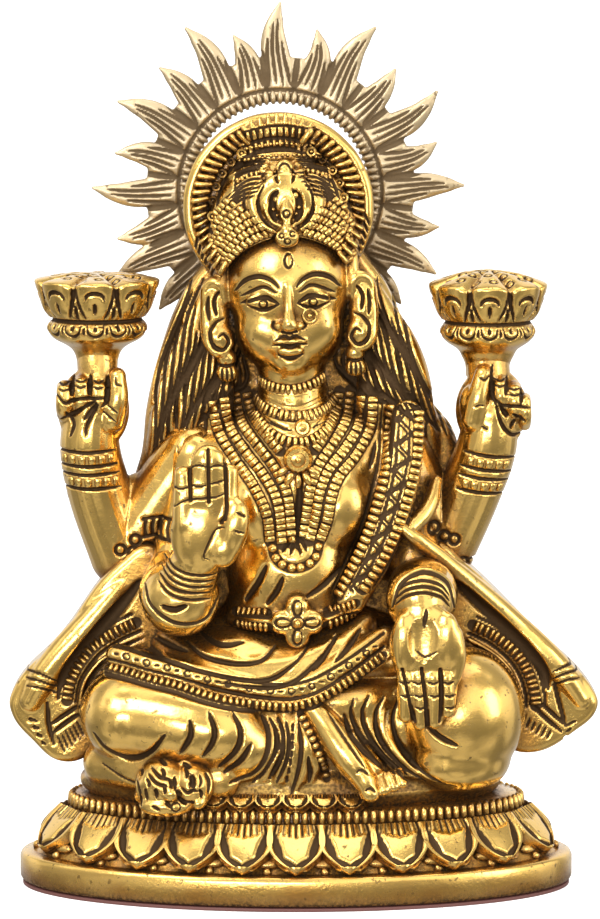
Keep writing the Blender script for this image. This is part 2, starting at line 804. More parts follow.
def hair_forms():
    outline = [
        (-13, 130), (-19, 125), (-22.8, 119.5), (-27, 109), (-30, 97), (-31, 88), (-33, 80), (-31, 48),
        (31, 48), (33, 81), (32, 91), (26.6, 98.6), (23.4, 107), (19.2, 119.5), (15, 126), (10, 131),
    ]
    parts = [board(outline, 2.4, BACK, 2.4)]
    for side in (-1, 1):
        lean = 0 if side < 0 else 1
        parts += [
            bar(
                [
                    (side * 16.5 - 1, 2.0, 121, 1.6),
                    (side * 21.5, 1.4, 108, 3.6),
                    (side * (26.0 - lean), 2.2, 95, 3.2),
                    (side * (28.6 - lean), 4.0, 86, 2.0),
                ]
            ),
            bar(
                [
                    (side * 14.8 - 1, 1.4, 118, 1.4),
                    (side * 18.0, 0.2, 106, 3.2),
                    (side * 21.0, 0.4, 96, 3.0),
                    (side * 24.0, 2.4, 88, 2.0),
                ]
            ),
            bar([(side * 14.5 - 1, 0.6, 108, 1.6), (side * 15.0, -0.4, 99, 2.8), (side * 17, 0.4, 92, 2.2)]),
        ]
    return parts


def torso_forms():
    soft = fused(
        [
            ball((0.4, 3, 88.6), (22.4, 8.8, 8.8)),
            ball((0.4, 0.4, 81), (17.6, 10.2, 14.0)),
            ball((-7.0, -4.6, 77.6), (7.6, 6.6, 8.4)),
            ball((8.2, -4.6, 78.0), (7.6, 6.6, 8.4)),
            ball((-0.6, -1, 65.0), (13.4, 10.4, 15.0)),
            ball((-0.6, -1, 57.0), (14.0, 9.6, 6.4)),
            ball((0, 2, 47), (27, 11.5, 11)),
            bar([(-0.6, 0.5, 90, 10.0), (-0.6, 0.4, 98, 7.4)]),
            # Upper arms of the two hands in front
            bar([(-19.5, 1, 87, 6.6), (-21.2, -0.4, 76, 6.0), (-23.0, -5, 64, 6.6)]),
            bar([(19.6, 1, 87, 6.6), (21.4, 1.4, 77, 5.6), (24.0, -4.0, 66, 6.0)]),
            ball((18.4, -0.4, 76), (6.6, 6.6, 14.0)),
        ],
        "torso",
        0.8,
        16,
    )
    petals = []
    for k in range(4):
        a = math.pi / 2 * k
        petals.append(ball((0.3 + 2.9 * math.sin(a), -12.5, 56.0 + 2.9 * math.cos(a)), (2.5, 1.35, 2.5)))
    return [
        soft,
        bar([(-0.6, 0.5, 94, 7.6), (-0.6, 0.4, 102, 6.9)], ends=False),
        # The sash over the left shoulder and the rolled edge of the garment under it
        bar(
            [
                (22.2, -4.4, 96, 3.4), (21.2, -8.4, 86, 3.7), (19.0, -9.6, 78, 3.8),
                (15.6, -10.4, 69, 3.6), (11.0, -10.4, 60, 3.0),
            ],
            depth=0.36,
        ),
        bar([(28.0, -3.6, 83, 1.2), (26.2, -6.4, 78, 1.8), (22.6, -9.2, 74.2, 1.6)]),
        # The girdle and its clasp
        bar(
            [
                (-12.6, -5.0, 55.6, 1.5), (-6, -10.8, 55.8, 1.6), (0, -11.6, 55.6, 1.6),
                (6, -10.6, 56.2, 1.6), (12.6, -5.0, 58.2, 1.5),
            ]
        ),
        ball((0.3, -12.6, 56.0), (3.0, 1.5, 3.0)),
        *petals,
    ]


# Rows of the necklaces, the collars and the sash, seen from the front

LONG_ROWS = [
    [(-16.6, 99.1), (-15.5, 93.1), (-12.3, 87.8), (-8.5, 82.9), (-5.9, 77.6), (-5.1, 71.8)],
    [(-14.4, 99.8), (-13.3, 93.9), (-10.1, 89.2), (-6.4, 84.8), (-3.7, 79.6), (-2.8, 71.4)],
    [(-12.2, 100.2), (-11.1, 95.0), (-7.9, 91.0), (-4.4, 86.6), (-1.9, 81.6), (-1.2, 76.4), (-0.9, 71.6)],
    [(-10.0, 100.2), (-8.8, 96.4), (-6.0, 93.0), (-3.2, 89.8)],
]

LONG_ROWS_LEFT = [
    [(15.3, 99.9), (14.9, 93.7), (12.0, 88.4), (8.6, 84.6), (7.0, 80.6), (6.2, 76.0), (4.8, 72.0)],
    [(13.1, 100.2), (12.6, 94.4), (9.8, 89.8), (6.5, 85.9), (4.8, 81.6), (4.0, 77.0), (2.7, 72.0)],
    [(10.9, 100.4), (10.3, 95.6), (7.7, 91.4), (4.6, 87.0), (2.9, 82.4), (2.1, 77.2), (1.5, 72.6)],
    [(8.7, 100.2), (8.0, 96.4), (5.9, 93.0), (3.8, 90.0)],
]

U_ROW = [(-4.8, 71.4), (-4.2, 68.9), (-2.5, 67.2), (0.0, 66.6), (2.3, 67.2), (4.0, 68.8), (4.6, 71.4)]

COLLARS = [
    [(-8.4, 99.4), (-5.2, 97.3), (0.1, 96.4), (5.4, 97.2), (8.2, 99.2)],
    [(-8.2, 96.4), (-5.4, 93.4), (-2.2, 91.8), (0.6, 91.4), (3.2, 91.9), (6.0, 93.6), (7.8, 96.4)],
]

SASH_COLUMNS = [
    [(19.0, 98.4), (18.5, 92.6), (17.7, 85.5), (16.1, 79.0), (14.0, 72.8), (11.2, 66.6), (8.4, 61.0)],
    [(24.4, 97.5), (23.9, 88.3), (22.1, 80.5), (19.7, 73.6), (16.8, 67.6), (13.4, 62.2)],
]


def body_cuts():
    cuts = grooves(
        [
            [(-5.8, 67.2), (-7.6, 63.4), (-10.3, 59.2)],
            [(-2.5, 65.0), (-3.9, 61.7), (-5.9, 58.9)],
            [(9.1, 66.4), (5.6, 63.0), (1.9, 60.5)],
        ],
        0.75, 0.8,
    )
    cuts += grooves(
        [
            [(-18.0, 96.2), (-18.3, 91.8)],
            [(-22.4, 92.8), (-23.6, 88.6)],
            [(-26.6, 87.0), (-25.6, 84.0)],
            [(15.9, 91.2), (14.6, 85.4)],
        ],
        0.5, 0.6,
    )
    # Edges of the sash and the zigzag along it
    left, right = (even_path(column, 2.4) for column in SASH_COLUMNS)
    count = min(len(left), len(right))
    zigzag = []
    for k in range(count):
        share = 0.3 if k % 2 else 0.7
        zigzag.append(tuple(left[k] * (1 - share) + right[k] * share))
    for off in (-0.5, 0.5):
        cuts.append(groove([(x + off, z) for x, z in zigzag], 0.3, 0.35, taper=False))
    for column in SASH_COLUMNS:
        for off in (-1.7, 1.7):
            cuts.append(groove([(x + off, z) for x, z in column], 0.4, 0.4))
    # The clasp's petals and its middle
    for k, squash in enumerate((1.6, 0.62, 1.6, 0.62)):
        a = math.pi / 2 * k
        across = 0.95 if squash > 1 else 1.52
        petal = ring_points(0.3 + 3.0 * math.sin(a), 56.0 + 3.0 * math.cos(a), across, 14, squash)
        cuts.append(groove(petal, 0.34, 0.5))
    cuts.append(groove(ring_points(0.3, 56.0, 1.3), 0.3, 0.4))
    # Neck folds, the smooth collar over each ribbed one, and the dark middle under the pendants
    cuts += [
        groove([(-8.6, 100.6), (-0.6, 98.0), (7.4, 100.6)], 0.4, 0.4),
        groove([(-9.4, 99.2), (-6.4, 96.0), (-2.6, 94.2), (-0.6, 93.8)], 0.4, 0.5),
        groove([(3.4, 94.2), (6.8, 96.4), (9.0, 99.2)], 0.4, 0.5),
        groove([(1.0, 86.0), (0.5, 78.0), (0.2, 70.4)], 0.9, 1.2),
    ]
    marks = [
        [(-2.8, 69.6), (-1.0, 72.6)],
        [(2.3, 69.8), (0.8, 72.6)],
        [(-1.2, 69.2), (-0.4, 71.6)],
        [(1.0, 69.2), (0.4, 71.6)],
    ]
    return cuts + grooves(marks, 0.4, 0.8)


def armlet_cuts():
    """A barred strap and rings, cut across the sleeve and the arm behind it."""
    lines = [[(-30.6, 75.2), (-27.6, 75.6), (-24.6, 75.6)], [(-31.0, 71.4), (-27.8, 71.9), (-24.6, 71.6)]]
    for k in range(4):
        lines.append([(-29.9 + 1.5 * k, 75.2), (-30.2 + 1.5 * k, 73.6), (-30.0 + 1.5 * k, 71.8)])
    rings = (
        (-32.1, 70.9), (-35.1, 68.9), (-32.5, 68.4), (-29.7, 69.2), (-33.8, 65.9),
        (27.6, 73.6), (29.6, 71.6), (31.6, 71.0), (33.6, 66.0), (35.4, 65.6),
    )
    lines += [ring_points(x, z, 1.05) for x, z in rings]
    return grooves(lines, 0.42, 0.6, taper=False)


def hair_lines(side):
    """Edges of the hair that falls beside the neck, as (x, z) points down each edge."""
    if side < 0:
        outer = [(-20.5, 126), (-24.6, 113), (-28.2, 98), (-29.6, 85)]
        inner = [(-9.6, 109), (-10.0, 104), (-12.4, 100), (-17.0, 96.4)]
    else:
        outer = [(17.4, 126), (22.6, 112), (27.0, 99.5), (31.4, 91)]
        inner = [(8.4, 109), (9.0, 104), (12.0, 101), (18.0, 98.6)]
    return outer, inner


STRANDS = 19


def hair_cuts(side):
    outer, inner = (even_path(edge, 0.5) for edge in hair_lines(side))
    share = np.linspace(0, 1, 9)[:, None]
    rows = []
    for edge in (outer, inner):
        spot = np.linspace(0, 1, len(edge))
        rows.append(np.stack([np.interp(share[:, 0], spot, edge[:, i]) for i in (0, 1)], axis=1))
    cuts = []
    for k in range(STRANDS):
        part = k / (STRANDS - 1)
        line = rows[0] * (1 - part) + rows[1] * part
        line[:, 0] += (0.8 * np.sin(share * 9 + k * 0.9))[:, 0]
        cuts.append(groove([tuple(p) for p in line[k % 3 :]], 0.55, 0.95, far=9))
    return cuts


def back_cuts():
    """Strands of hair down the flat back, and folds of the cloth beside and under them."""
    cuts = []
    for k in range(23):
        part = k / 11 - 1
        spots = np.linspace(0, 1, 9)
        x = part * (11 + 18 * spots**0.7) + 0.5 * np.sin(7 * spots + 1.3 * k)
        z = 122 - (70 - 7 * part**2 - 3 * (k % 3)) * spots
        cuts.append(groove(list(zip(x, z)), 0.62, 0.7))
    for k in range(5):
        z = 36.5 - 3.0 * k
        cuts.append(
            groove([(-27 - k, z + 3), (-12, z), (1, z - 0.8 * (k % 2)), (14, z), (28 + k, z + 3)], 0.6, 0.6)
        )
        for side in (-1, 1):
            fold = ((33 + k, 63 - 4 * k), (42 + k, 50 - 3 * k), (50 + k, 39 - 2 * k))
            cuts.append(groove([(side * x, z) for x, z in fold], 0.6, 0.6))
    return cuts


def body_rows():
    link = small_block(2.0, 1.2, 0.9, 0.2)
    rib = small_block(2.2, 0.9, 1.0, 0.3)
    pea = small_bead(1.9, 1.9, 1.5, 12, 6)
    rows = [(points, link, 1.34, 1.55, {"lift": 0.1}) for points in LONG_ROWS + LONG_ROWS_LEFT]
    rows.append((U_ROW, pea, 2.05, 1.3, {"lift": 0.1}))
    rows += [(points, rib, 1.2, 1.35, {"lift": 0.2}) for points in COLLARS]
    column = small_block(2.3, 1.25, 1.1, 0.3)
    rows += [(points, column, 1.5, 1.3, {"lift": 0.15}) for points in SASH_COLUMNS]
    strap = small_block(1.9, 0.95, 1.3, 0.4)
    straps = [
        [(-12.0, 57.2), (-7, 57.4), (-5.6, 57.4)],
        [(-11.8, 54.9), (-7, 55.0), (-5.4, 55.0)],
        [(6.2, 57.7), (8.0, 58.2), (12.0, 59.6)],
        [(6.0, 55.3), (8.0, 55.8), (12.0, 57.2)],
    ]
    return rows + [(points, strap, 1.2, 1.1, {"lift": 0.2}) for points in straps]


def body_studs(tray, skin):
    disc = small_bead(2, 2, 1.0, 20, 8)
    ring = small_ring(0.75, 0.28, 16, 6)
    pea = small_bead(1, 1, 1, 10, 6)
    for x, z, size in ((1.3, 94.3, 1.7), (0.4, 88.2, 3.0)):
        stud(tray, skin, disc, x, z, size=size, flat=0.8)
        stud(tray, skin, ring, x, z, lift=0.3 * size, size=size * 0.85, flat=0.8)
        stud(tray, skin, pea, x, z, lift=0.35 * size, size=size * 0.5, flat=0.8)
    leaf = small_bead(1.3, 2.7, 1.0, 10, 6)
    for k in range(-2, 3):
        a = math.radians(29 * k)
        x, z = 0.4 + 3.6 * math.sin(a), 87.8 - 4.0 * math.cos(a)
        stud(tray, skin, leaf, x, z, lift=0.3, flat=0.8, size=1.2, ahead=(math.sin(a), 0, -math.cos(a)))
    stud(tray, skin, pea, 0.3, 56.0, lift=0.1, size=1.7)


def blessing_forms():
    hand = fused(
        [
            ball((-18.8, -20.9, 75.2), (5.9, 2.8, 8.6)),
            ball((-18.4, -21.2, 82.8), (5.8, 2.2, 5.4)),
            bar([(-17.2, -21.2, 80.0, 3.7), (-17.1, -21.6, 89.4, 3.5)], depth=0.55),
            bar([(-22.0, -21.2, 77.0, 2.3), (-22.2, -21.4, 86.9, 1.75)]),
            bar([(-13.4, -20.8, 78.0, 2.4), (-12.7, -20.8, 87.4, 1.6)], depth=0.9),
            ball((-12.0, -22.2, 76.4), (2.9, 2.3, 6.0), (0, 10, 0)),
            ball((-14.2, -22.0, 72.0), (3.0, 2.2, 3.6)),
        ],
        "blessing_hand",
        0.5,
        7,
    )
    return [
        bar([(-23.2, -6, 64, 6.8), (-23.2, -9.4, 61.6, 8.0), (-22.9, -13.4, 61.2, 7.8)]),
        bar([(-22.4, -12, 63.0, 5.9), (-21.0, -16.2, 66.0, 5.6), (-19.4, -18.4, 70.6, 4.7)]),
        hand,
    ]


def bangle_lines(points, count, drop):
    """Copies of a curved line, each one further down the arm."""
    return [[(x + drop[0] * k, z + drop[1] * k) for x, z in points] for k in range(count)]


def hand_cuts():
    fine = [
        [(-20.7, 89.4), (-20.6, 81.9)],
        [(-17.1, 92.0), (-17.0, 81.6)],
        [(-13.7, 90.0), (-13.6, 80.4), (-14.6, 77.6)],
        [(20.8, 48.6), (22.2, 43.0), (23.2, 38.2)],
        [(24.6, 48.8), (25.4, 43), (25.8, 37.2)],
        [(28.3, 48.6), (28.5, 43), (28.3, 38.2)],
    ]
    creases = [
        [(-24.0, 84.6), (-22.4, 84.2), (-21.0, 84.6)],
        [(-20.4, 88.5), (-18.8, 88.9), (-17.4, 88.5)],
        [(-16.8, 88.5), (-15.2, 88.9), (-13.9, 88.5)],
        [(-20.4, 85.0), (-18.8, 84.7), (-17.4, 85.0)],
        [(-16.8, 85.2), (-15.2, 85.5), (-13.9, 85.9)],
        [(-24.0, 80.6), (-21.6, 81.9), (-18.0, 82.4), (-15.6, 82.6), (-13.6, 83.4)],
        [(-16.9, 70.2), (-18.0, 70.9), (-17.0, 73.6), (-15.6, 76.2), (-13.8, 76.8)],
        [(-13.6, 80.0), (-13.8, 77.8)],
        [(-11.6, 79.8), (-9.8, 78.8)],
        [(-12.2, 76.2), (-10.0, 75.6)],
        [(23.4, 52.4), (25.2, 51.2), (27.6, 52.2)],
    ]
    for k, x in enumerate((21.3, 23.9, 26.9, 29.9)):
        for down in (0, 2.6, 5.0)[: 2 + k % 2]:
            z = 46.2 - down
            creases.append([(x - 1.2 + 0.1 * down, z), (x + 0.1 * down, z - 0.3), (x + 1.2 + 0.1 * down, z)])
    cuts = grooves(fine, 0.45, 0.75, taper=False) + grooves(creases, 0.32, 0.4)
    # Bangles under the blessing palm, the sleeve's rim and its opening
    bangle = [(-25.8, 70.6), (-23.6, 68.2), (-19.8, 67.0), (-15.4, 66.8)]
    cuts += grooves(bangle_lines(bangle, 5, (-0.35, -1.25)), 0.4, 0.55)
    cuts.append(groove([(-29.8, 64.4), (-28.6, 60.4), (-23.6, 57.0), (-18.0, 57.4), (-15.2, 61.6)], 0.6, 0.8))
    cuts.append(groove([(-26.6, 60.6), (-24.0, 59.9), (-21.2, 60.8)], 0.85, 1.2))
    # Bangles over the giving palm and the sleeve round them
    bangle = [(19.4, 60.8), (21.6, 62.8), (25.0, 63.6), (28.4, 62.6), (30.2, 60.4)]
    cuts += grooves(bangle_lines(bangle, 3, (0, 1.1)), 0.4, 0.5)
    cuts.append(groove([(18.8, 60.0), (20.6, 65.0), (25.2, 67.2), (29.8, 65.0), (31.4, 59.6)], 0.5, 0.7))
    # Palm hollow
    cuts.append(groove([(25.2, 58.6), (24.8, 54.8), (25.0, 50.6)], 3.0, 1.0, dark=0.3))
    cuts.append(groove([(25.6, 60.6), (25.0, 57.0)], 0.6, 0.6))
    return cuts


def giving_forms():
    hand = fused(
        [
            ball((25.4, -22.0, 53.0), (7.2, 2.6, 8.8)),
            ball((25.7, -22.4, 44.8), (6.2, 2.1, 8.2)),
            ball((21.2, -23.0, 53.4), (2.6, 2.0, 6.4)),
            ball((29.7, -23.0, 54.0), (2.7, 2.0, 6.0)),
            bar([(31.2, -22.8, 55.4, 1.7), (32.0, -23.0, 50.4, 1.5), (31.4, -23.2, 46.6, 1.1)]),
        ],
        "giving_hand",
        0.5,
        7,
    )
    parts = [
        bar([(25.0, -7, 62, 6.6), (25.0, -11, 61.6, 7.1), (24.8, -15.4, 61.0, 7.0)]),
        bar([(24.8, -12, 62.6, 6.0), (24.8, -17.0, 61.0, 5.8), (25.2, -19.4, 58, 4.8)]),
        hand,
    ]
    for x, low, radius in ((21.6, 39.4, 1.7), (24.5, 37.9, 1.75), (27.2, 38.2, 1.75), (29.8, 40.2, 1.6)):
        root = (x * 0.98 + 0.2, -22.9, 47.0, radius)
        parts.append(bar([root, (x, -23.1, 43.0, radius), (x, -23.0, low, radius * 0.95)]))
    return parts


def rear_arm_forms(arm):
    parts = [
        bar([arm["hand"], arm["wrist"], arm["forearm"], arm["elbow"]]),
        bar([arm["elbow"], arm["shoulder"]]),
        ball((arm["elbow"][0] * 0.88, 3.6, 79.4), (5.0, 4.0, 4.4)),
        ball(arm["palm"], (7.2, 4.4, 8.6)),
        ball(arm["heel"], (3.0, 2.6, 5.4), (0, arm["lean"], 0)),
        bar(arm["thumb"]),
        bar(arm["stem"], ends=False),
    ]
    for x, z, radius in arm["fingers"]:
        parts += [
            bar([(x, -2.6, z - 5.6, radius), (x, -5.4, z - 3.4, radius), (x, -5.2, z - 0.6, radius * 0.92)]),
            ball((x, -3.4, z - 0.2), (radius * 0.95, 2.6, radius * 0.9)),
        ]
    return parts


def rear_arm_cuts():
    fine = [
        [(-47.6, 100.8), (-45.6, 99.0), (-43.2, 99.8), (-37.4, 100.0)],
        [(-44.3, 104.6), (-44.4, 100.4)],
        [(-40.8, 104.6), (-40.9, 100.4)],
        [(-37.3, 104.4), (-37.5, 99.6), (-38.6, 98.0)],
        [(-39.6, 99.6), (-43.0, 97.4), (-46.8, 95.4)],
        [(-39.4, 99.2), (-42.2, 95.4)],
        [(-39.0, 99.0), (-41.4, 94.6), (-41.8, 92.2)],
        [(-45.6, 97.2), (-44.2, 94.8), (-45.0, 92.0)],
        [(39.0, 106.6), (38.8, 101.0), (39.6, 98.4)],
        [(42.0, 104.0), (41.6, 100.4)],
        [(44.9, 102.4), (44.7, 98.6)],
        [(38.9, 100.2), (41.0, 98.4), (43.4, 98.4), (46.6, 98.0)],
        [(39.6, 98.6), (41.0, 94.6), (43.2, 92.4), (45.6, 92.6)],
        [(40.2, 98.6), (42.2, 96.0)],
        [(42.8, 96.8), (45.6, 95.2)],
        [(43.6, 95.6), (42.6, 93.6)],
    ]
    creases = []
    for x, z in ((-46.0, 103.0), (-42.6, 103.6), (-39.1, 103.4), (40.4, 103.8), (43.3, 102.0)):
        for down in (0, 1.2):
            creases.append([(x - 1.2, z - down), (x, z - down - 0.3), (x + 1.2, z - down)])
    creases += [
        [(-37.4, 98.6), (-35.2, 96.9)],
        [(-38.3, 97.3), (-35.8, 95.3)],
        [(-35.8, 104.2), (-35.6, 102.8), (-34.4, 102.4)],
        [(35.2, 98.2), (36.4, 98.6), (37.4, 98.4)],
        [(36.6, 94.4), (38.2, 93.6)],
        [(36.2, 104.2), (37.4, 103.6), (38.4, 104.4)],
    ]
    bands = []
    for drop in (0, 2.9, 4.7, 7.6):
        bands += [
            [(-47.8 + 0.1 * drop, 89.3 - drop), (-41.6, 88.9 - drop), (-35.6 + 0.1 * drop, 89.4 - drop)],
            [
                (33.2 - 0.2 * drop, 89.2 - drop), (38.4 - 0.2 * drop, 88.2 - drop),
                (44.0 - 0.3 * drop, 87.7 - drop)
            ],
        ]
    return (
        grooves(fine, 0.5, 0.75)
        + grooves(creases, 0.3, 0.35)
        + grooves(bands, 0.5, 0.65)
        + armlet_cuts()
    )


def rear_arm_rows():
    bead = small_block(1.9, 1.45, 0.9, 0.3)
    lines = []
    for drop in (1.45, 6.15):
        lines += [
            [(-47.0 + 0.2 * drop, 89.2 - drop), (-41.6, 88.9 - drop), (-36.4 + 0.2 * drop, 89.3 - drop)],
            [
                (34.0 - 0.2 * drop, 88.9 - drop), (38.4 - 0.2 * drop, 88.2 - drop),
                (43.0 - 0.3 * drop, 87.8 - drop)
            ],
        ]
    return [(points, bead, 1.95, 0, {"flat": 0.2}) for points in lines]


# The rear arms and the lotuses in their hands. A knot is (x, y, z, radius)

RIGHT_ARM = {
    "hand": (-40.8, -0.8, 96, 5.6),
    "wrist": (-41.2, -0.5, 90, 6.0),
    "forearm": (-39.8, 2, 81.5, 6.4),
    "elbow": (-35, 4, 67, 6.6),
    "shoulder": (-20.5, 3, 88, 7),
    "palm": (-40.4, -0.8, 97.0),
    "heel": (-37.0, -3.4, 97.0),
    "lean": 12,
    "thumb": [(-36.6, -4.0, 95.4, 2.6), (-35.4, -4.8, 100, 2.2), (-35.4, -4.4, 104.2, 1.7)],
    "fingers": [(-46.0, 102.0, 1.7), (-42.6, 103.0, 1.8), (-39.2, 102.4, 1.75)],
    "stem": [(-39.4, -1.5, 98, 3.8), (-39.5, -0.6, 105, 4.0), (-39.6, 0.2, 107.6, 4.1)],
}

LEFT_ARM = {
    "hand": (38.8, -0.8, 96, 5.6),
    "wrist": (38.2, -0.5, 90, 6.0),
    "forearm": (35, 2, 80.5, 6.3),
    "elbow": (29.5, 4, 67, 6.2),
    "shoulder": (20.5, 3, 88, 7),
    "palm": (39.0, -0.8, 97.0),
    "heel": (35.6, -3.4, 97.0),
    "lean": -12,
    "thumb": [(35.4, -4.0, 95.4, 2.7), (36.2, -4.8, 100, 2.3), (37.2, -4.6, 104.6, 1.8)],
    "fingers": [(40.6, 103.0, 1.6), (43.4, 101.8, 1.65), (45.6, 99.8, 1.2)],
    "stem": [(38.8, -1.5, 98, 4.2), (38.4, -0.6, 104, 4.3), (38.2, 0.2, 106.6, 4.4)],
}

LOTUS_RIGHT = {
    "centre": (-39.6, 0.4),
    "profile": [
        (4.0, 104.0), (4.2, 107.0), (4.9, 108.8), (6.2, 109.9), (8.6, 111.2), (9.8, 112.6), (10.0, 113.8),
        (9.2, 114.9), (9.6, 115.6), (10.7, 117.2), (11.4, 119.4), (12.1, 122.0), (11.7, 123.2), (6.0, 124.1),
    ],
    "top": 124.2,
    "rim": 122.8,
    "waist": 115.2,
}

LOTUS_LEFT = {
    "centre": (38.2, 0.4),
    "profile": [
        (4.3, 103.4), (4.5, 106.0), (5.2, 107.6), (6.0, 109.0), (8.2, 110.5), (9.4, 111.9), (9.5, 113.1),
        (8.8, 114.2), (9.2, 115.0), (10.2, 116.6), (10.9, 118.8), (11.5, 121.2), (11.1, 122.4), (6.0, 124.2),
    ],
    "top": 125.1,
    "rim": 121.6,
    "waist": 114.6,
}


MAP_DEGREES = 5.0  # degrees round a lotus that make one millimetre on its map


def lotus(flower, name, grain):
    """A turned lotus of eight broad petals over a lower tier, closed on top."""
    cx, cy = flower["centre"]
    profile = even_path(flower["profile"], 0.3)
    turn = [2 * math.pi * k / 144 for k in range(144)]
    waist, rim = flower["waist"], flower["rim"]
    places = []
    for radius, z in profile:
        upper = min(max((z - waist) / (rim - waist), 0), 1)
        for t in turn:
            petal = 1 - abs(math.cos(4 * t))
            r = radius - upper * 0.9 * petal**3 + upper * 0.25 * (1 - petal)
            places.append((cx + r * math.sin(t), cy - 0.92 * r * math.cos(t), z - upper * petal**2))
    count = len(turn)
    faces = wall_faces(len(profile), count)
    base = len(places)
    places += [(cx, cy, profile[0][1]), (cx, cy, flower["top"])]
    last = (len(profile) - 1) * count
    for k in range(count):
        faces.append((base, (k + 1) % count, k))
        faces.append((base + 1, last + k, last + (k + 1) % count))
    obj = fused([made(name, places, faces)], name, grain, 3)
    places = corners(obj)
    spot = np.arctan2(places[:, 0] - cx, -(places[:, 1] - cy))
    flat = np.stack([np.degrees(spot) / MAP_DEGREES, places[:, 2]], axis=1)
    cuts = []
    pitch = 45 / MAP_DEGREES
    for k in range(-4, 5):
        x = k * pitch
        arch = [(-2.1, -3.3), (-1.6, -2.2), (0, -1.7), (1.6, -2.2), (2.1, -3.3)]
        cuts.append(groove([(x + across, rim + up) for across, up in arch], 0.55, 0.8))
        cuts.append(groove([(x, waist + 3.9), (x, waist + 1.5)], 0.5, 0.9))
        edge = [(x - 4.3, rim + 0.3), (x - 4.0, rim - 3.0), (x - 3.1, waist + 2.0), (x - 2.3, waist + 0.6)]
        cuts += grooves([edge] + flipped([edge], x), 0.5, 0.9)
        cuts.append(groove([(x + pitch / 2, waist + 3.4), (x + pitch / 2, waist + 0.4)], 0.55, 0.9))
    pitch = 30 / MAP_DEGREES
    for k in range(-6, 7):
        x = k * pitch
        arch = [(-2.2, -0.5), (-1.7, -2.3), (0, -3.0), (1.7, -2.3), (2.2, -0.5)]
        cuts.append(groove([(x + across, waist + up) for across, up in arch], 0.42, 0.6))
        cuts.append(groove([(x, waist - 0.6), (x, waist - 1.9)], 0.6, 0.6))
        cuts.append(groove([(x + pitch / 2, waist - 0.8), (x + pitch / 2, waist - 2.7)], 0.45, 0.7))
    cuts.append(groove([(-37, waist), (0, waist), (37, waist)], 0.45, 0.5, taper=False))
    up = outward(obj)[:, 2]
    carve(obj, cuts, flat=flat, seen=up < 0.75)
    top = []
    for radius, count in ((2.2, 5), (5.2, 10), (8.2, 15)):
        for k in range(count):
            a = 2 * math.pi * (k + 0.4 * radius) / count
            top.append(ring_points(cx + radius * math.sin(a), cy + radius * math.cos(a), 0.75, 8))
    carve(obj, grooves(top, 0.28, 0.35), flat=places[:, :2], seen=up > 0.6)
    return obj


def leg_forms():
    soft = fused(
        [
            ball((0, -3, 34), (39, 14.4, 15.0)),
            ball((-1, -1, 22), (43, 17.5, 8)),
            # Right shin, lying across to the middle
            bar(
                [
                    (-33, -9.5, 37.0, 9.3), (-22, -13.4, 35.8, 9.0), (-13.0, -15.2, 34.0, 8.2),
                    (-10.0, -15.4, 31.8, 6.8),
                ]
            ),
            ball((-33.6, -8.5, 36.8), (9.6, 10.8, 9.6)),
            bar([(-38, -6.5, 26.4, 4.8), (-28, -12.4, 26.4, 5.6), (-15, -15.6, 25.0, 4.6)]),
            # Left knee
            ball((33, -9.6, 37), (12.8, 12, 13.6)),
            ball((32.0, -9.0, 28), (11.0, 11, 7.4)),
            ball((8, -9, 40), (16, 8, 6)),
        ],
        "leg_masses",
        0.7,
        10,
    )
    parts = [
        soft,
        # Left foot, hanging over the seat's edge, and its toes
        bar(
            [
                (3.4, -16.4, 39.4, 2.4), (6.6, -17.8, 35.4, 3.1), (10.4, -19.4, 30.0, 3.2),
                (13.6, -20.6, 25.6, 2.4)
            ]
        ),
        bar([(12.8, -20.6, 27.2, 2.2), (14.6, -21.2, 23.2, 2.0)]),
        bar([(10.8, -17.8, 33.0, 2.4), (15.4, -18.6, 28.0, 1.9)]),
    ]
    for x, z, radius in ((17.4, 24.4, 1.35), (19.4, 25.0, 1.15), (21.2, 25.6, 0.95)):
        parts.append(bar([(x - 0.8, -18.6, z + 1.4, radius), (x, -20.4, z - 0.6, radius * 0.9)]))
    # Cloth between the legs, pulled into pleats
    for x, y, radius in ((-4.6, -16.4, 2.2), (-1.2, -17.0, 2.3), (2.2, -17.4, 2.2), (4.4, -17.0, 1.8)):
        low = (x - 2.4, y + 0.8, 23.2, radius * 0.8)
        parts.append(bar([(x - 1.6, -14.6, 40, radius), (x, y, 32.4, radius), low]))
    for points in LEFT_FOLDS:
        knots = []
        for k, (x, z) in enumerate(points):
            knots.append((x, -13.2 - 2.2 * math.sin(math.pi * k / len(points)), z, 1.25))
        parts.append(bar(knots))
    return parts


LEFT_FOLDS = [
    [(13.0, 42.0), (12.0, 38.4), (13.6, 34.3), (17.6, 29.6), (20.6, 26.6)],
    [(16.2, 42.0), (14.4, 38.4), (15.2, 33.8), (19.0, 28.8), (23.4, 25.4)],
    [(18.8, 41.4), (17.2, 37.6), (18.0, 32.8), (22.2, 27.6), (27.0, 24.2)],
]


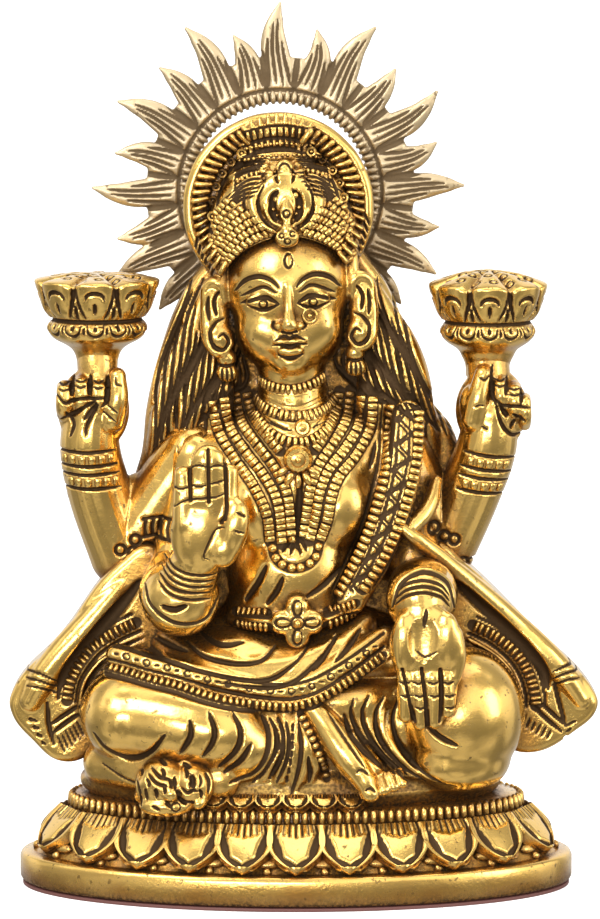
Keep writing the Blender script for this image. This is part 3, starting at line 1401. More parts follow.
def leg_cuts():
    heavy = [
        [(-40.2, 34.4), (-37.6, 31.0), (-33.4, 29.3), (-29.2, 30.6), (-25.6, 35.4)],
        [(-20.9, 38.2), (-20.8, 35.0), (-22.8, 31.2)],
        [(-17.2, 39.8), (-16.0, 36.3), (-16.6, 33.4), (-18.4, 30.6)],
        [(-12.4, 39.6), (-10.8, 36.0), (-11.6, 32.3), (-15.4, 28.0)],
        [(-8.8, 33.4), (-10.8, 30.0), (-14.4, 26.9)],
        [(-6.8, 38.6), (-5.2, 34.6), (-5.8, 30.2), (-8.6, 26.6), (-13.4, 24.9)],
        [(25.6, 36.6), (28.6, 34.2), (32.0, 32.6)],
    ]
    pleats = [
        [(-5.4, 38.0), (-3.9, 35.0), (-3.9, 31.2), (-6.2, 27.0), (-8.6, 24.6)],
        [(-3.8, 38.0), (-2.7, 34.6), (-3.0, 30.2), (-5.4, 25.0)],
        [(-2.0, 37.2), (-1.5, 33.6), (-2.0, 29.2), (-4.0, 24.6)],
        [(0.4, 37.0), (0.9, 32.1), (0.3, 27.3), (-1.1, 21.8)],
        [(2.4, 30.4), (2.9, 27.2), (2.6, 24.6)],
        [(9.4, 38.4), (10.8, 35.0), (14.4, 30.6), (18.0, 27.4)],
        [(11.4, 41.4), (10.9, 38.2), (12.6, 34.4), (16.4, 29.8), (19.6, 26.8)],
        [(14.6, 42.0), (13.2, 38.7), (14.2, 34.2), (18.2, 29.0), (22.2, 25.6)],
        [(17.6, 41.8), (15.8, 38.0), (16.6, 33.2), (20.6, 28.0), (25.4, 24.6)],
        [(20.4, 41.0), (19.2, 36.7), (20.8, 31.4), (24.6, 27.0), (29.0, 24.4)],
    ]
    fine = [
        [(11.7, 27.6), (12.8, 28.3), (14.4, 27.3)],
        [(13.4, 24.0), (14.6, 24.6), (15.8, 23.8)],
        [(6.4, 39.0), (9.6, 34.4), (13.6, 28.6)],
        [(-39.0, 27.6), (-33.0, 24.6), (-26, 23.6)],
    ]
    cuts = grooves(heavy, 0.75, 1.0) + grooves(pleats, 0.6, 0.85) + grooves(fine, 0.36, 0.4)
    # The shaded line where the legs rest on the plinth, and the one over it
    rest = [(-42, 21.6), (-20, 20.4), (0, 20.2), (20, 20.4), (42, 21.6)]
    over = [(-14, 23.6), (0, 23.0), (14, 23.4), (30, 23.8)]
    cuts.append(groove(rest, 2.0, 0.35, taper=False, dark=0.55))
    cuts.append(groove(over, 1.9, 0.35, near=-18.3, taper=False, dark=0.55))
    # The holes of the lace strip
    for k in range(7):
        z = 36.4 - 1.75 * k
        x = -0.5 - 0.012 * (36 - z) ** 2
        cuts.append(groove([(x, z), (x - 0.05, z - 0.9)], 0.42, 0.5, taper=False))
    return cuts


def lap_forms():
    hem = [
        (-37.4, -10.0, 45.6, 1.1), (-27.3, -15.4, 44, 1.2), (-11.4, -17.2, 41.2, 1.3),
        (-1.8, -17.6, 40.2, 1.3), (8.9, -16.8, 44.4, 1.3), (18.6, -14.6, 50.0, 1.1),
    ]
    soft = fused(
        [
            ball((-1, -5, 46.5), (25, 10.4, 6.6)),
            ball((-18, -4.6, 46.8), (19.4, 10.6, 6.4), (0, -12, 0)),
            ball((12, -4.6, 48.5), (12, 8.6, 6.6), (0, 18, 0)),
            bar(
                [
                    (-26, -4.5, 50.8, 2.8), (-17, -11.2, 48.6, 2.8), (-4, -13.4, 46.6, 3.0),
                    (9, -11.6, 51.0, 2.4)
                ]
            ),
            bar([(2, -11.4, 46.6, 2.4), (9, -11.0, 50.2, 2.8), (14, -7.5, 55.0, 2.4)]),
            bar([(x * 0.95, y + 1.9, z + 2.8, 2.7) for x, y, z, _ in hem]),
        ],
        "lap_masses",
        0.6,
        14,
    )
    return [soft, bar(hem)]


HEM = [
    (-37.9, 46.6), (-34.2, 46.2), (-29.6, 45.3), (-24.0, 44.3), (-18.6, 42.8), (-12.6, 41.4), (-7.0, 40.5),
    (-1.7, 40.2), (2.2, 40.9), (5.6, 42.3), (9.2, 44.4), (13.0, 46.9), (17.4, 50.0),
]


def raised(points, rise):
    return [(x, z + rise) for x, z in points]


def lap_cuts():
    folds = [
        [
            (-34.4, 51.6), (-29.6, 50.2), (-23.9, 48.4), (-18.2, 46.9), (-12.2, 45.6), (-7.0, 45.2),
            (-3.6, 46.0), (-0.2, 48.4), (2.6, 51.6),
        ],
        [(-22.0, 52.0), (-18.4, 49.6), (-13.6, 48.4), (-9.2, 48.3), (-6.2, 49.2), (-4.0, 51.4)],
        [(-31.6, 53.0), (-26.8, 51.4), (-21.4, 50.2)],
        [(3.2, 47.0), (5.6, 49.8), (8.0, 53.4)],
        [(-14.8, 44.7), (-9.6, 44.0), (-4.6, 43.9), (-0.6, 45.0), (3.0, 47.6), (5.2, 50.0)],
        [(7.6, 48.8), (10.4, 51.6), (13.0, 54.6)],
        [(-19.0, 53.0), (-14.6, 51.6), (-10.4, 52.0)],
    ]
    cuts = grooves(folds, 0.6, 0.8)
    cuts += grooves([raised(HEM, 1.45), raised(HEM, 4.3)], 0.4, 0.5, taper=False)
    cuts.append(groove(raised(HEM, -1.2), 0.5, 0.4, taper=False))
    border = even_path(raised(HEM, 2.9), 2.1)
    for k, (x, z) in enumerate(border[1:-1]):
        if k % 2:
            cuts.append(groove(ring_points(x, z, 0.62, 8), 0.26, 0.3))
        else:
            cuts.append(groove([(x - 0.3, z), (x + 0.3, z)], 0.3, 0.35, taper=False))
    return cuts


def panel_forms(outline, roll, rim):
    side = -1 if outline[0][0] < 0 else 1
    return [
        board(outline if side < 0 else outline[::-1], -4.2, 4.4, 1.6),
        bar(roll),
        bar(rim),
    ]


def side_panel_forms():
    left = panel_forms(
        [
            (-29, 70), (-35.4, 66.6), (-47.2, 51.6), (-57.2, 39.8), (-57.4, 36.4), (-53, 30.2), (-47, 25.8),
            (-40, 28), (-22, 44), (-22, 60),
        ],
        [
            (-30.4, -1.8, 67.4, 1.6), (-41, -3.0, 54.8, 2.8), (-50.6, -3.4, 43.2, 3.0),
            (-53.2, -3.2, 38.6, 2.5)
        ],
        [
            (-36, -5.6, 48.6, 0.7), (-41.6, -5.6, 44.2, 0.8), (-43.2, -5.4, 38.6, 0.8),
            (-42.2, -5.0, 33.6, 0.7)
        ],
    )
    right = panel_forms(
        [
            (28, 70.6), (33.2, 67), (46.6, 54), (60.0, 40), (60.6, 37), (56, 32), (47, 27.6), (40, 30),
            (22, 44), (22, 60),
        ],
        [
            (19.8, -9.8, 75.6, 1.0), (24.0, -9.6, 72.2, 1.6), (30.6, -6.8, 66.4, 1.9),
            (36.5, -4.6, 61.0, 2.1), (42, -3.0, 55.6, 2.5), (53.2, -3.4, 44.4, 2.7), (57.2, -3.0, 38.8, 2.2)
        ],
        [(34.6, -5.8, 51.4, 0.7), (41.8, -5.8, 45.8, 0.8), (44.6, -5.6, 39.0, 0.8), (44.8, -5.2, 34.0, 0.7)],
    )
    return left + right


BEAD_STRIPS = [
    [(-32.0, 54.4), (-36.3, 52.3), (-40.5, 49.4), (-43.6, 45.6), (-45.2, 42.3), (-45.9, 38.6)],
    [(35.4, 53.9), (39.9, 51.6), (44.2, 47.9), (46.7, 43.9), (47.9, 39.8), (48.1, 37.6)],
]


def shifted(points, off):
    """The line moved sideways by off, towards its left."""
    line = np.asarray(points, float)
    ahead = np.gradient(line, axis=0)
    ahead /= np.linalg.norm(ahead, axis=1, keepdims=True)
    return [tuple(p) for p in line + off * np.stack([-ahead[:, 1], ahead[:, 0]], axis=1)]


def panel_cuts():
    cuts = []
    for strip in BEAD_STRIPS:
        for off in (-1.9, 1.9):
            cuts.append(groove(shifted(strip, off), 0.42, 0.55, taper=False))
    outside = [shifted(BEAD_STRIPS[0], 3.4), shifted(BEAD_STRIPS[1], -3.4)]
    cuts += grooves(outside, 0.5, 0.6)
    # Dark hollows between each rolled edge and its beaded strip
    hollows = [
        [(-31.0, 63.0), (-35.6, 57.0), (-40.2, 51.6), (-45.2, 45.4), (-47.6, 41.0)],
        [(31.4, 63.4), (37.6, 57.4), (43.4, 51.8), (48.6, 46.0), (50.6, 41.0)],
    ]
    cuts += grooves(hollows, 1.7, 1.3, dark=0.8)
    heavy = [
        [(-49.6, 33.4), (-46.4, 35.6), (-43.0, 37.9)],
        [(-49.2, 31.6), (-46.2, 34.0), (-42.9, 36.2)],
        [(-49.9, 38.6), (-49.6, 33.6), (-48.6, 29.4)],
        [(46.6, 38.4), (49.9, 35.1), (53.6, 32.0)],
        [(48.2, 38.8), (51.3, 36.0), (54.2, 33.4)],
        [(51.6, 42.6), (52.8, 38.0), (54.2, 33.0)],
    ]
    cuts += grooves(heavy, 0.6, 0.8)
    for k in range(7):
        share = k / 6
        top = (-47.9 + 4.6 * share, 31.4 + 3.6 * share)
        cuts.append(groove([top, (top[0] + 1.5, top[1] - 3.6 + 0.6 * share)], 0.34, 0.4))
    for k in range(6):
        share = k / 5
        top = (46.0 + 5.2 * share, 35.8 - 3.2 * share)
        cuts.append(groove([top, (top[0] - 1.0, top[1] - 2.4 + 0.4 * share)], 0.34, 0.4))
    # Tassel leaves behind the knots
    for k in range(4):
        z = 34.9 - 1.6 * k
        cuts.append(groove([(-54.0 + 0.9 * k, z), (-51.8 + 0.5 * k, z - 0.6)], 0.5, 0.6))
        cuts.append(groove([(56.4 - 0.9 * k, z - 0.4), (54.4 - 0.3 * k, z - 1.4)], 0.42, 0.5))
    for k in range(3):
        drop = 1.5 * k
        ties = [
            [(-54.4 + 0.2 * k, 44.8 - drop), (-51.2, 44.4 - drop), (-47.6 + 0.4 * k, 42.6 - drop)],
            [(51.2, 44.6 - drop), (54.2, 46.0 - drop), (57.0, 46.4 - drop)],
        ]
        cuts += grooves(ties, 0.36, 0.5)
    return cuts


def owl_forms():
    return [
        ball((-26, -17.8, 24.4), (5.9, 5.8, 5.7)),
        ball((-20.4, -18.9, 24.6), (4.3, 4.9, 4.9)),
        ball((-18.9, -21.4, 22.2), (1.7, 2.6, 1.6), (30, 0, -20)),
        ball((-21.6, -18.4, 29.0), (2.0, 2.2, 1.3)),
        ball((-25.6, -20.4, 20.8), (5.4, 3.4, 2.4)),
        bar([(-30.2, -17.4, 22.2, 1.9), (-28.6, -20.6, 25.2, 2.2), (-24.6, -22.6, 23.6, 1.8)]),
    ]


def owl_cuts():
    lines = [
        [(-31.4, 25.6), (-30.8, 22.8), (-30.6, 20.8)],
        [(-29.8, 24.6), (-29.4, 22.0)],
        [(-28.6, 28.6), (-26.8, 27.0), (-24.6, 26.4)],
        [(-29.2, 27.4), (-27.4, 25.8), (-25.2, 25.2)],
        [(-23.9, 27.0), (-23.6, 24.4)],
        [(-25.9, 25.7), (-25.8, 23.6)],
        [(-27.6, 24.8), (-27.4, 22.6)],
        [(-22.6, 24.8), (-21.4, 23.8), (-20.2, 24.4), (-19.2, 24.0)],
        [(-23.2, 22.8), (-21.8, 21.8), (-20.0, 22.0)],
        [(-17.8, 27.6), (-17.0, 25.6), (-17.2, 23.4)],
        [(-27.0, 30.0), (-25.4, 29.0)],
        [(-24.6, 30.4), (-23.0, 29.4)],
        [(-22.6, 29.2), (-20.6, 28.6)],
        [(-25.8, 22.2), (-24.4, 20.8)],
        [(-28.4, 21.2), (-26.8, 20.2)],
    ]
    for k in range(9):
        x, z = -31 + 1.5 * k, 28.6 - 2.0 * (k % 3)
        lines.append([(x, z), (x + 0.5, z - 0.9), (x + 0.4, z - 1.9)])
    cuts = grooves(lines, 0.48, 0.7)
    cuts.append(groove([(-20.8, 27.6), (-20.3, 26.2), (-20.9, 24.9)], 0.85, 1.1))
    cuts.append(groove([(-18.9, 27.4), (-18.6, 26.0), (-19.0, 24.9)], 0.35, 0.4))
    cuts.append(groove(ring_points(-23.6, 20.9, 0.9), 0.3, 0.4))
    return cuts


# Plinth, in true millimetres above the floor

PLATE_TOP = 0.7
PLINTH_FOOT = 1.0
PLINTH_HALF = (55.8, 27.0)
BAND_TOP = 7.0
PETALS_TOP = 15.6
SEAT = 19.0
STEP = 1.2
SLOPE = 9.2
NECKING = STEP + SLOPE  # how far in from the band the row of beads stands
INSET_SHARE = 0.69  # an inset along Y, as a share of the inset along X
PETALS = 22
ROW_BEADS = 124


def on_oval(angle, inset):
    length, depth = PLINTH_HALF
    return (math.sin(angle) * (length - inset), -math.cos(angle) * (depth - inset * INSET_SHARE))


def even_angles(count, inset=0.0):
    """Angles that share an oval's outline out evenly, with one at the front."""
    turn = np.linspace(0, 2 * math.pi, 2881)
    points = np.array([on_oval(a, inset) for a in turn])
    gone = np.concatenate([[0], np.cumsum(np.linalg.norm(np.diff(points, axis=0), axis=1))])
    return np.interp(np.arange(count) * gone[-1] / count, gone, turn)


def oval_frame(angle, inset, z, lean=0.0):
    """X runs round the oval, Y up the slope and Z outwards; lean tips Y back from upright."""
    length, depth = PLINTH_HALF
    x, y = on_oval(angle, inset)
    around = Vector((math.cos(angle) * (length - inset), math.sin(angle) * (depth - inset * INSET_SHARE), 0))
    around.normalize()
    out = Vector((around.y, -around.x, 0))
    up = Vector((0, 0, 1)) * math.cos(lean) - out * math.sin(lean)
    matrix = Matrix((around, up, around.cross(up))).transposed().to_4x4()
    matrix.translation = (x, y, z)
    return matrix


def plinth_body():
    """The oval block, its plain band and the slope behind the petals."""
    profile = [
        (0.6, PLINTH_FOOT), (0.0, PLINTH_FOOT + 0.7), (0.0, BAND_TOP - 1.2), (0.35, BAND_TOP - 0.3),
        (1.1, BAND_TOP), (STEP + 2.0, BAND_TOP + 0.1), (STEP + 3.2, BAND_TOP + 1.4),
        (0.62 * SLOPE + 1.6, 11.4), (NECKING + 0.6, PETALS_TOP - 0.3), (NECKING - 0.5, PETALS_TOP),
        (NECKING - 0.5, PETALS_TOP + 0.5), (NECKING + 0.4, PETALS_TOP + 0.7), (NECKING + 0.4, SEAT - 0.6),
        (NECKING + 1.2, SEAT - 0.1), (NECKING + 4.0, SEAT),
    ]
    count = 240
    angles = [2 * math.pi * k / count for k in range(count)]
    places = [(*on_oval(a, inset), z) for inset, z in profile for a in angles]
    faces = wall_faces(len(profile), count)
    faces.append(tuple(range(count))[::-1])
    faces.append(tuple(range((len(profile) - 1) * count, len(profile) * count)))
    obj = made("plinth", places, faces)
    finish_modifier(obj, "BEVEL", width=0.25, segments=2, limit_method="ANGLE", angle_limit=math.radians(40))
    bpy.ops.object.shade_smooth_by_angle(angle=math.radians(40))
    put_patina(obj, np.zeros(len(obj.data.vertices)))
    return obj


def petal_shape(width, length, swell):
    """A pointed petal that hangs down -Y from its root, with a raised rim and an inset middle."""
    bpy.ops.mesh.primitive_grid_add(x_subdivisions=28, y_subdivisions=30, size=1, location=(0, 0, 0))
    obj = bpy.context.object
    places = corners(obj)
    across = places[:, 0] * 2
    along = np.clip(0.5 - places[:, 1], 0, 1)
    half = 0.5 * width * np.clip((1 - along**3.6) ** 0.85 * (0.9 + 0.14 * np.sin(math.pi * along)), 0.01, 1)

    def step(value, low, high):
        share = np.clip((value - low) / (high - low), 0, 1)
        return share * share * (3 - 2 * share)

    side = np.abs(across)
    rim = np.maximum(step(side, 0.74, 0.8), step(along, 0.9, 0.93))
    edge = 0.68 - 0.2 * np.sin(math.pi * np.clip((along - 0.15) / 0.8, 0, 1))
    leaf = (1 - step(side - edge, -0.04, 0.04)) * (1 - step(along + 0.3 * side, 0.86, 0.92))
    height = swell * (1 - 0.4 * side**2) * np.sin(0.5 + 1.5 * along)
    height += 0.6 * rim + 0.55 * leaf - 2.0 * np.maximum(step(side, 0.95, 1), step(along, 0.975, 1))
    dark = (1 - rim) * (1 - leaf)
    vein = np.zeros(len(along))
    for k in range(-3, 4):
        end = step(along, 0.26 - 0.03 * abs(k), 0.36 - 0.03 * abs(k))
        vein = np.maximum(vein, np.exp(-(((across - k * 0.2) / 0.045) ** 2)) * (1 - end))
    height -= 0.4 * vein
    put_corners(obj, np.stack([across * half, -along * length, height], axis=1))
    put_patina(obj, np.maximum(dark, vein))
    finish_modifier(obj, "SOLIDIFY", thickness=1.2, offset=-1)
    only(obj)
    bpy.ops.object.mode_set(mode="EDIT")
    bpy.ops.mesh.select_all(action="SELECT")
    bpy.ops.mesh.normals_make_consistent(inside=False)
    bpy.ops.object.mode_set(mode="OBJECT")
    return pattern(obj)


def plinth_trim():
    tray = Tray()
    big = petal_shape(12.4, 10.4, 1.1)
    lean = math.atan2(SLOPE * 0.8, PETALS_TOP - BAND_TOP)
    for angle in even_angles(PETALS):
        tray.add(big, oval_frame(angle, NECKING - 0.4, PETALS_TOP + 0.1, lean))
    bud = small_bead(2.6, 5.4, 1.8)
    drop = small_bead(1.9, 1.9, 1.6)
    for k, angle in enumerate(even_angles(2 * PETALS)):
        if k % 2:
            tray.add(bud, oval_frame(angle, STEP + 3.6, BAND_TOP + 2.2, 0.7))
            tray.add(drop, oval_frame(angle, STEP + 2.2, BAND_TOP + 0.7, 0.5))
    rib = small_block(3.3, 1.5, 1.6, 0.42)
    for angle in even_angles(ROW_BEADS, NECKING):
        tray.add(rib, oval_frame(angle, NECKING + 0.1, (PETALS_TOP + SEAT) / 2 + 0.15, 0.12))
    rim_petal = petal_shape(5.9, 3.4, 0.6)
    for k in range(-3, 3):
        tray.add(rim_petal, oval_frame(k * 0.128, NECKING + 2.8, SEAT + 2.5, 0.7))
    return tray.make("plinth_trim")


# Halo

HALO_CENTRE = (-3.2, 139.5)
HALO_FRONT = 12.0
HALO_BACK = 14.4
HALO_MIDDLE = (HALO_FRONT + HALO_BACK) / 2
HALO_BEADS = 84
RAY_ROOT = 21.0  # radius where the rays start
# A ray's share of its length, half its width there, and its share of the lean
FLAME = ((0, 3.1, 0), (0.34, 3.0, 0.6), (0.62, 2.4, 0.8), (0.84, 1.4, 0.4), (1, 0.5, 0))
# The lines cut along a ray: millimetres off its middle, starting radius, and share of its length
RAY_LINES = ((-2.2, 21.2, 0.52), (-0.75, 21.0, 0.8), (0.75, 21.6, 0.74), (2.2, 21.2, 0.58))
# Each ray's tip: degrees from the right, radius, and the lean of its middle in degrees
RAYS = [
    (90, 38.2, 3.0), (77.0, 33.6, -3.0), (59.8, 38.4, 3.0), (46.6, 34.2, -1.5), (32.4, 37.8, -3.0),
    (17.2, 33.4, -2.5), (1.8, 37.4, 1.5), (-12.8, 33.2, -1.5), (-28, 36.0, 2.0), (-43, 33.8, 2.0),
    (-60, 37.6, 2.0), (-75, 34.0, 2.0), (-90, 37.6, 2.0), (-105, 34.0, 2.0), (-120, 37.6, 2.0),
    (-135.6, 34.6, -2.0), (-152.6, 37.6, -2.0), (-163.6, 34.6, 2.0), (179.0, 38.2, 2.0), (167, 34.4, -2.0),
    (151, 37.6, -2.5), (134.2, 35.0, -2.0), (120.0, 38.2, -3.0), (106.6, 33.0, -2.0),
]


def halo_point(degrees, radius):
    a = math.radians(degrees)
    return (HALO_CENTRE[0] + radius * math.cos(a), HALO_CENTRE[1] + radius * math.sin(a))


def ray_course(k, tip):
    """Where ray k starts round the ring and how far it turns to its tip, in degrees."""
    root = 90 - 15 * k
    return root, (tip - root + 180) % 360 - 180


def halo_forms():
    parts = []
    for radius, wire, depth in ((24.0, 3.0, 0.36), (21.8, 2.2, 0.42), (19.0, 1.15, 0.6)):
        ring = [(*halo_point(22.5 * k, radius), wire) for k in range(16)]
        parts.append(bar([(x, HALO_MIDDLE + 0.1, z, w) for x, z, w in ring], depth=depth, closed=True))
    for k, (degrees, tip, lean) in enumerate(RAYS):
        root, turn = ray_course(k, degrees)
        share = (tip - RAY_ROOT) / 17.0
        shape = []
        for part, radius, bend in FLAME:
            out = RAY_ROOT + (tip - 0.6 - RAY_ROOT) * part
            x, z = halo_point(root + turn * part + lean * bend, out)
            shape.append((x, HALO_MIDDLE, z, radius * (0.82 + 0.18 * share)))
        parts.append(bar(shape, depth=0.4))
    return parts


def halo_cuts():
    cuts = []
    for k, (degrees, tip, lean) in enumerate(RAYS):
        root, turn = ray_course(k, degrees)
        cuts.append(groove([halo_point(root - 7.5, r) for r in (20.4, 24, 28.5)], 0.8, 0.6))
        for off, start, end in RAY_LINES:
            points = []
            for share in (0, 0.33, 0.66, 1):
                r = start + (tip - start) * end * share
                narrow = 1 - 0.62 * share * end
                bend = math.sin(share * end * math.pi) * lean * 0.7
                a = root + turn * share * end + bend + math.degrees(off * narrow / r)
                points.append(halo_point(a, r))
            cuts.append(groove(points, 0.48, 0.5))
    return cuts


# Materials

EFFECT = "Polished Metal With Patina"
HOLLOW_REACH = 0.008  # metres in which other skin closes a point in
BUMP_HEIGHT = 0.0003
PALE = (0.9, 0.9, 0.9)


def effect_group(name, inputs, outputs):
    group = bpy.data.node_groups.new(name, "ShaderNodeTree")
    for label, kind, default in inputs:
        socket = group.interface.new_socket(name=label, in_out="INPUT", socket_type=kind)
        socket.default_value = default
    for label, kind in outputs:
        group.interface.new_socket(name=label, in_out="OUTPUT", socket_type=kind)
    return group


class Wiring:
    """Adds nodes to a tree and links them."""

    def __init__(self, tree):
        self.tree = tree

    def node(self, kind, **settings):
        node = self.tree.nodes.new(kind)
        for name, value in settings.items():
            setattr(node, name, value)
        return node

    def link(self, source, target):
        self.tree.links.new(source, target)

    def feed(self, socket, value):
        if isinstance(value, bpy.types.NodeSocket):
            self.link(value, socket)
        else:
            socket.default_value = value

    def math(self, operation, a, b=0.0, clamp=False):
        node = self.node("ShaderNodeMath", operation=operation, use_clamp=clamp)
        self.feed(node.inputs[0], a)
        self.feed(node.inputs[1], b)
        return node.outputs[0]

    def spread(self, value, low, high, to_low=0.0, to_high=1.0):
        node = self.node("ShaderNodeMapRange", interpolation_type="SMOOTHSTEP")
        self.feed(node.inputs["Value"], value)
        node.inputs["From Min"].default_value = low
        node.inputs["From Max"].default_value = high
        node.inputs["To Min"].default_value = to_low
        node.inputs["To Max"].default_value = to_high
        return node.outputs["Result"]

    def blend(self, share, a, b):
        node = self.node("ShaderNodeMix", data_type="RGBA")
        self.feed(node.inputs["Factor"], share)
        self.feed(node.inputs[6], a)
        self.feed(node.inputs[7], b)
        return node.outputs[2]

    def noise(self, place, scale, detail, rough):
        node = self.node("ShaderNodeTexNoise")
        self.link(place, node.inputs["Vector"])
        node.inputs["Scale"].default_value = scale
        node.inputs["Detail"].default_value = detail
        node.inputs["Roughness"].default_value = rough
        return node.outputs["Fac"]


def patina_group():
    """Polished metal whose hollows hold a dark brown patina."""
    group = effect_group(
        EFFECT,
        [
            ("Metal", "NodeSocketColor", (0.8, 0.5, 0.15, 1)),
            ("Warm Metal", "NodeSocketColor", (0.6, 0.3, 0.06, 1)),
            ("Patina", "NodeSocketColor", (0.02, 0.014, 0.01, 1)),
            ("Openness", "NodeSocketFloat", 1.0),
            ("Carved", "NodeSocketFloat", 0.0),
            ("Polish", "NodeSocketFloat", 0.2),
        ],
        [
            ("Color", "NodeSocketColor"),
            ("Roughness", "NodeSocketFloat"),
            ("Metallic", "NodeSocketFloat"),
            ("Shine", "NodeSocketFloat"),
            ("Height", "NodeSocketFloat"),
        ],
    )
    w = Wiring(group)
    given = w.node("NodeGroupInput").outputs
    place = w.node("ShaderNodeTexCoord").outputs["Object"]
    blotch = w.noise(place, 300.0, 4.0, 0.7)
    speck = w.noise(place, 1500.0, 3.0, 0.7)
    waves = w.noise(place, 120.0, 2.0, 0.5)
    closed = w.math("SUBTRACT", 1.0, given["Openness"])
    uneven = w.math("MULTIPLY", w.math("SUBTRACT", blotch, 0.5), 0.5)
    deep = w.spread(w.math("ADD", closed, uneven), 0.29, 0.6)
    deep = w.math("MULTIPLY", deep, w.spread(speck, 0.38, 0.56, 0.35, 1.0))
    loose = w.math("MULTIPLY", w.math("SUBTRACT", speck, 0.5), w.math("SUBTRACT", 1.0, given["Carved"]))
    grime = w.math("MAXIMUM", deep, w.spread(w.math("ADD", given["Carved"], loose), 0.3, 0.7))
    pits = w.spread(w.noise(place, 800.0, 2.0, 0.5), 0.64, 0.72, 0.0, 0.7)
    grime = w.math("MAXIMUM", grime, pits)
    uneven = w.math("MULTIPLY", w.math("SUBTRACT", waves, 0.5), 0.5)
    warm = w.spread(w.math("ADD", closed, uneven), 0.05, 0.45)
    metal = w.blend(warm, given["Metal"], given["Warm Metal"])
    colour = w.blend(grime, metal, given["Patina"])
    rough = w.math("ADD", given["Polish"], w.math("MULTIPLY", blotch, 0.12))
    rough = w.math("ADD", rough, w.math("MULTIPLY", warm, 0.12))
    rough = w.math("ADD", rough, w.math("MULTIPLY", grime, 0.4), clamp=True)
    metallic = w.math("SUBTRACT", 1.0, w.math("MULTIPLY", grime, 0.1))
    fine = w.math("MULTIPLY", speck, w.math("ADD", 0.12, w.math("MULTIPLY", closed, 4.0)))
    broad = w.math("ADD", w.math("MULTIPLY", waves, 1.6), w.math("MULTIPLY", blotch, 0.7))
    height = w.math("ADD", fine, broad)
    end = w.node("NodeGroupOutput").inputs
    w.link(colour, end["Color"])
    w.link(rough, end["Roughness"])
    w.link(metallic, end["Metallic"])
    w.link(w.math("SUBTRACT", 0.8, w.math("MULTIPLY", grime, 0.8)), end["Shine"])
    w.link(height, end["Height"])
    return group


def metal_material(name, metal, warm, patina, polish, bump):
    material = bpy.data.materials.new(name)
    material.use_nodes = True
    tree = material.node_tree
    w = Wiring(tree)
    shader = tree.nodes["Principled BSDF"]
    group = w.node("ShaderNodeGroup", node_tree=bpy.data.node_groups[EFFECT])
    for label, colour in (("Metal", metal), ("Warm Metal", warm), ("Patina", patina)):
        group.inputs[label].default_value = (*colour, 1)
    group.inputs["Polish"].default_value = polish
    hollows = w.node("ShaderNodeAmbientOcclusion", samples=6)
    hollows.inputs["Distance"].default_value = HOLLOW_REACH
    w.link(hollows.outputs["AO"], group.inputs["Openness"])
    carved = w.node("ShaderNodeAttribute", attribute_name="patina")
    w.link(carved.outputs["Fac"], group.inputs["Carved"])
    bumps = w.node("ShaderNodeBump")
    bumps.inputs["Strength"].default_value = bump
    bumps.inputs["Distance"].default_value = BUMP_HEIGHT
    w.link(group.outputs["Height"], bumps.inputs["Height"])
    w.link(group.outputs["Color"], shader.inputs["Base Color"])
    w.link(group.outputs["Roughness"], shader.inputs["Roughness"])
    w.link(group.outputs["Metallic"], shader.inputs["Metallic"])
    w.link(group.outputs["Shine"], shader.inputs["Coat Weight"])
    w.link(bumps.outputs["Normal"], shader.inputs["Normal"])
    shader.inputs["Coat Roughness"].default_value = 0.14
    return material


def plain_material(name, colour, roughness):
    material = bpy.data.materials.new(name)
    material.use_nodes = True
    shader = material.node_tree.nodes["Principled BSDF"]
    shader.inputs["Base Color"].default_value = (*colour, 1)
    shader.inputs["Roughness"].default_value = roughness
    return material


def material_named(name):
    found = bpy.data.materials.get(name)
    if found:
        return found
    if EFFECT not in bpy.data.node_groups:
        patina_group()
    look = bpy.context.scene.goddess_finish
    if name == "Polished Gold":
        return metal_material(name, look.gold, look.warm_gold, look.patina, 0.12, look.casting_texture)
    if name == "Antique Gold":
        darker = [0.8 * c for c in look.halo_shade]
        return metal_material(name, look.halo_gold, look.halo_shade, darker, 0.4, 2 * look.casting_texture)
    if name == "Maroon Paint":
        return plain_material(name, look.maroon, 0.6)
    raise RuntimeError(f"no finish is called {name}")


# Settings


class GoddessSizes(bpy.types.PropertyGroup):
    grain: bpy.props.FloatProperty(
        name="Grain",
        description="Size of the grid that the cast forms are fused on, in the drawing's millimetres",
        default=0.32,
        min=0.2,
        max=1.5,
    )
    lens: bpy.props.FloatProperty(
        name="Lens", description="Focal length of the camera in millimetres", default=176.3, unit="CAMERA"
    )
    camera_distance: bpy.props.FloatProperty(
        name="Camera distance",
        description="From the camera to the middle of the figure",
        default=0.9,
        subtype="DISTANCE",
        unit="LENGTH",
    )


class GoddessFinish(bpy.types.PropertyGroup):
    gold: bpy.props.FloatVectorProperty(
        name="Gold",
        description="Polished gold of the casting",
        default=(0.83, 0.53, 0.125),
        subtype="COLOR",
    )
    warm_gold: bpy.props.FloatVectorProperty(
        name="Warm gold",
        description="Deeper gold beside the hollows",
        default=(0.48, 0.215, 0.032),
        subtype="COLOR",
    )
    halo_gold: bpy.props.FloatVectorProperty(
        name="Halo gold",
        description="Paler antique gold of the halo",
        default=(0.60, 0.47, 0.28),
        subtype="COLOR",
    )
    patina: bpy.props.FloatVectorProperty(
        name="Patina",
        description="Dark patina in the carving",
        default=(0.075, 0.043, 0.019),
        subtype="COLOR",
    )
    halo_shade: bpy.props.FloatVectorProperty(
        name="Halo shade",
        description="Duller metal beside the halo's hollows",
        default=(0.32, 0.23, 0.13),
        subtype="COLOR",
    )
    maroon: bpy.props.FloatVectorProperty(
        name="Maroon",
        description="Paint of the closing plate",
        default=(0.16, 0.06, 0.05),
        subtype="COLOR",
    )
    casting_texture: bpy.props.FloatProperty(
        name="Casting texture",
        description="Strength of the fine bumps in the metal",
        default=0.3,
        min=0,
        max=1,
    )


# Operators


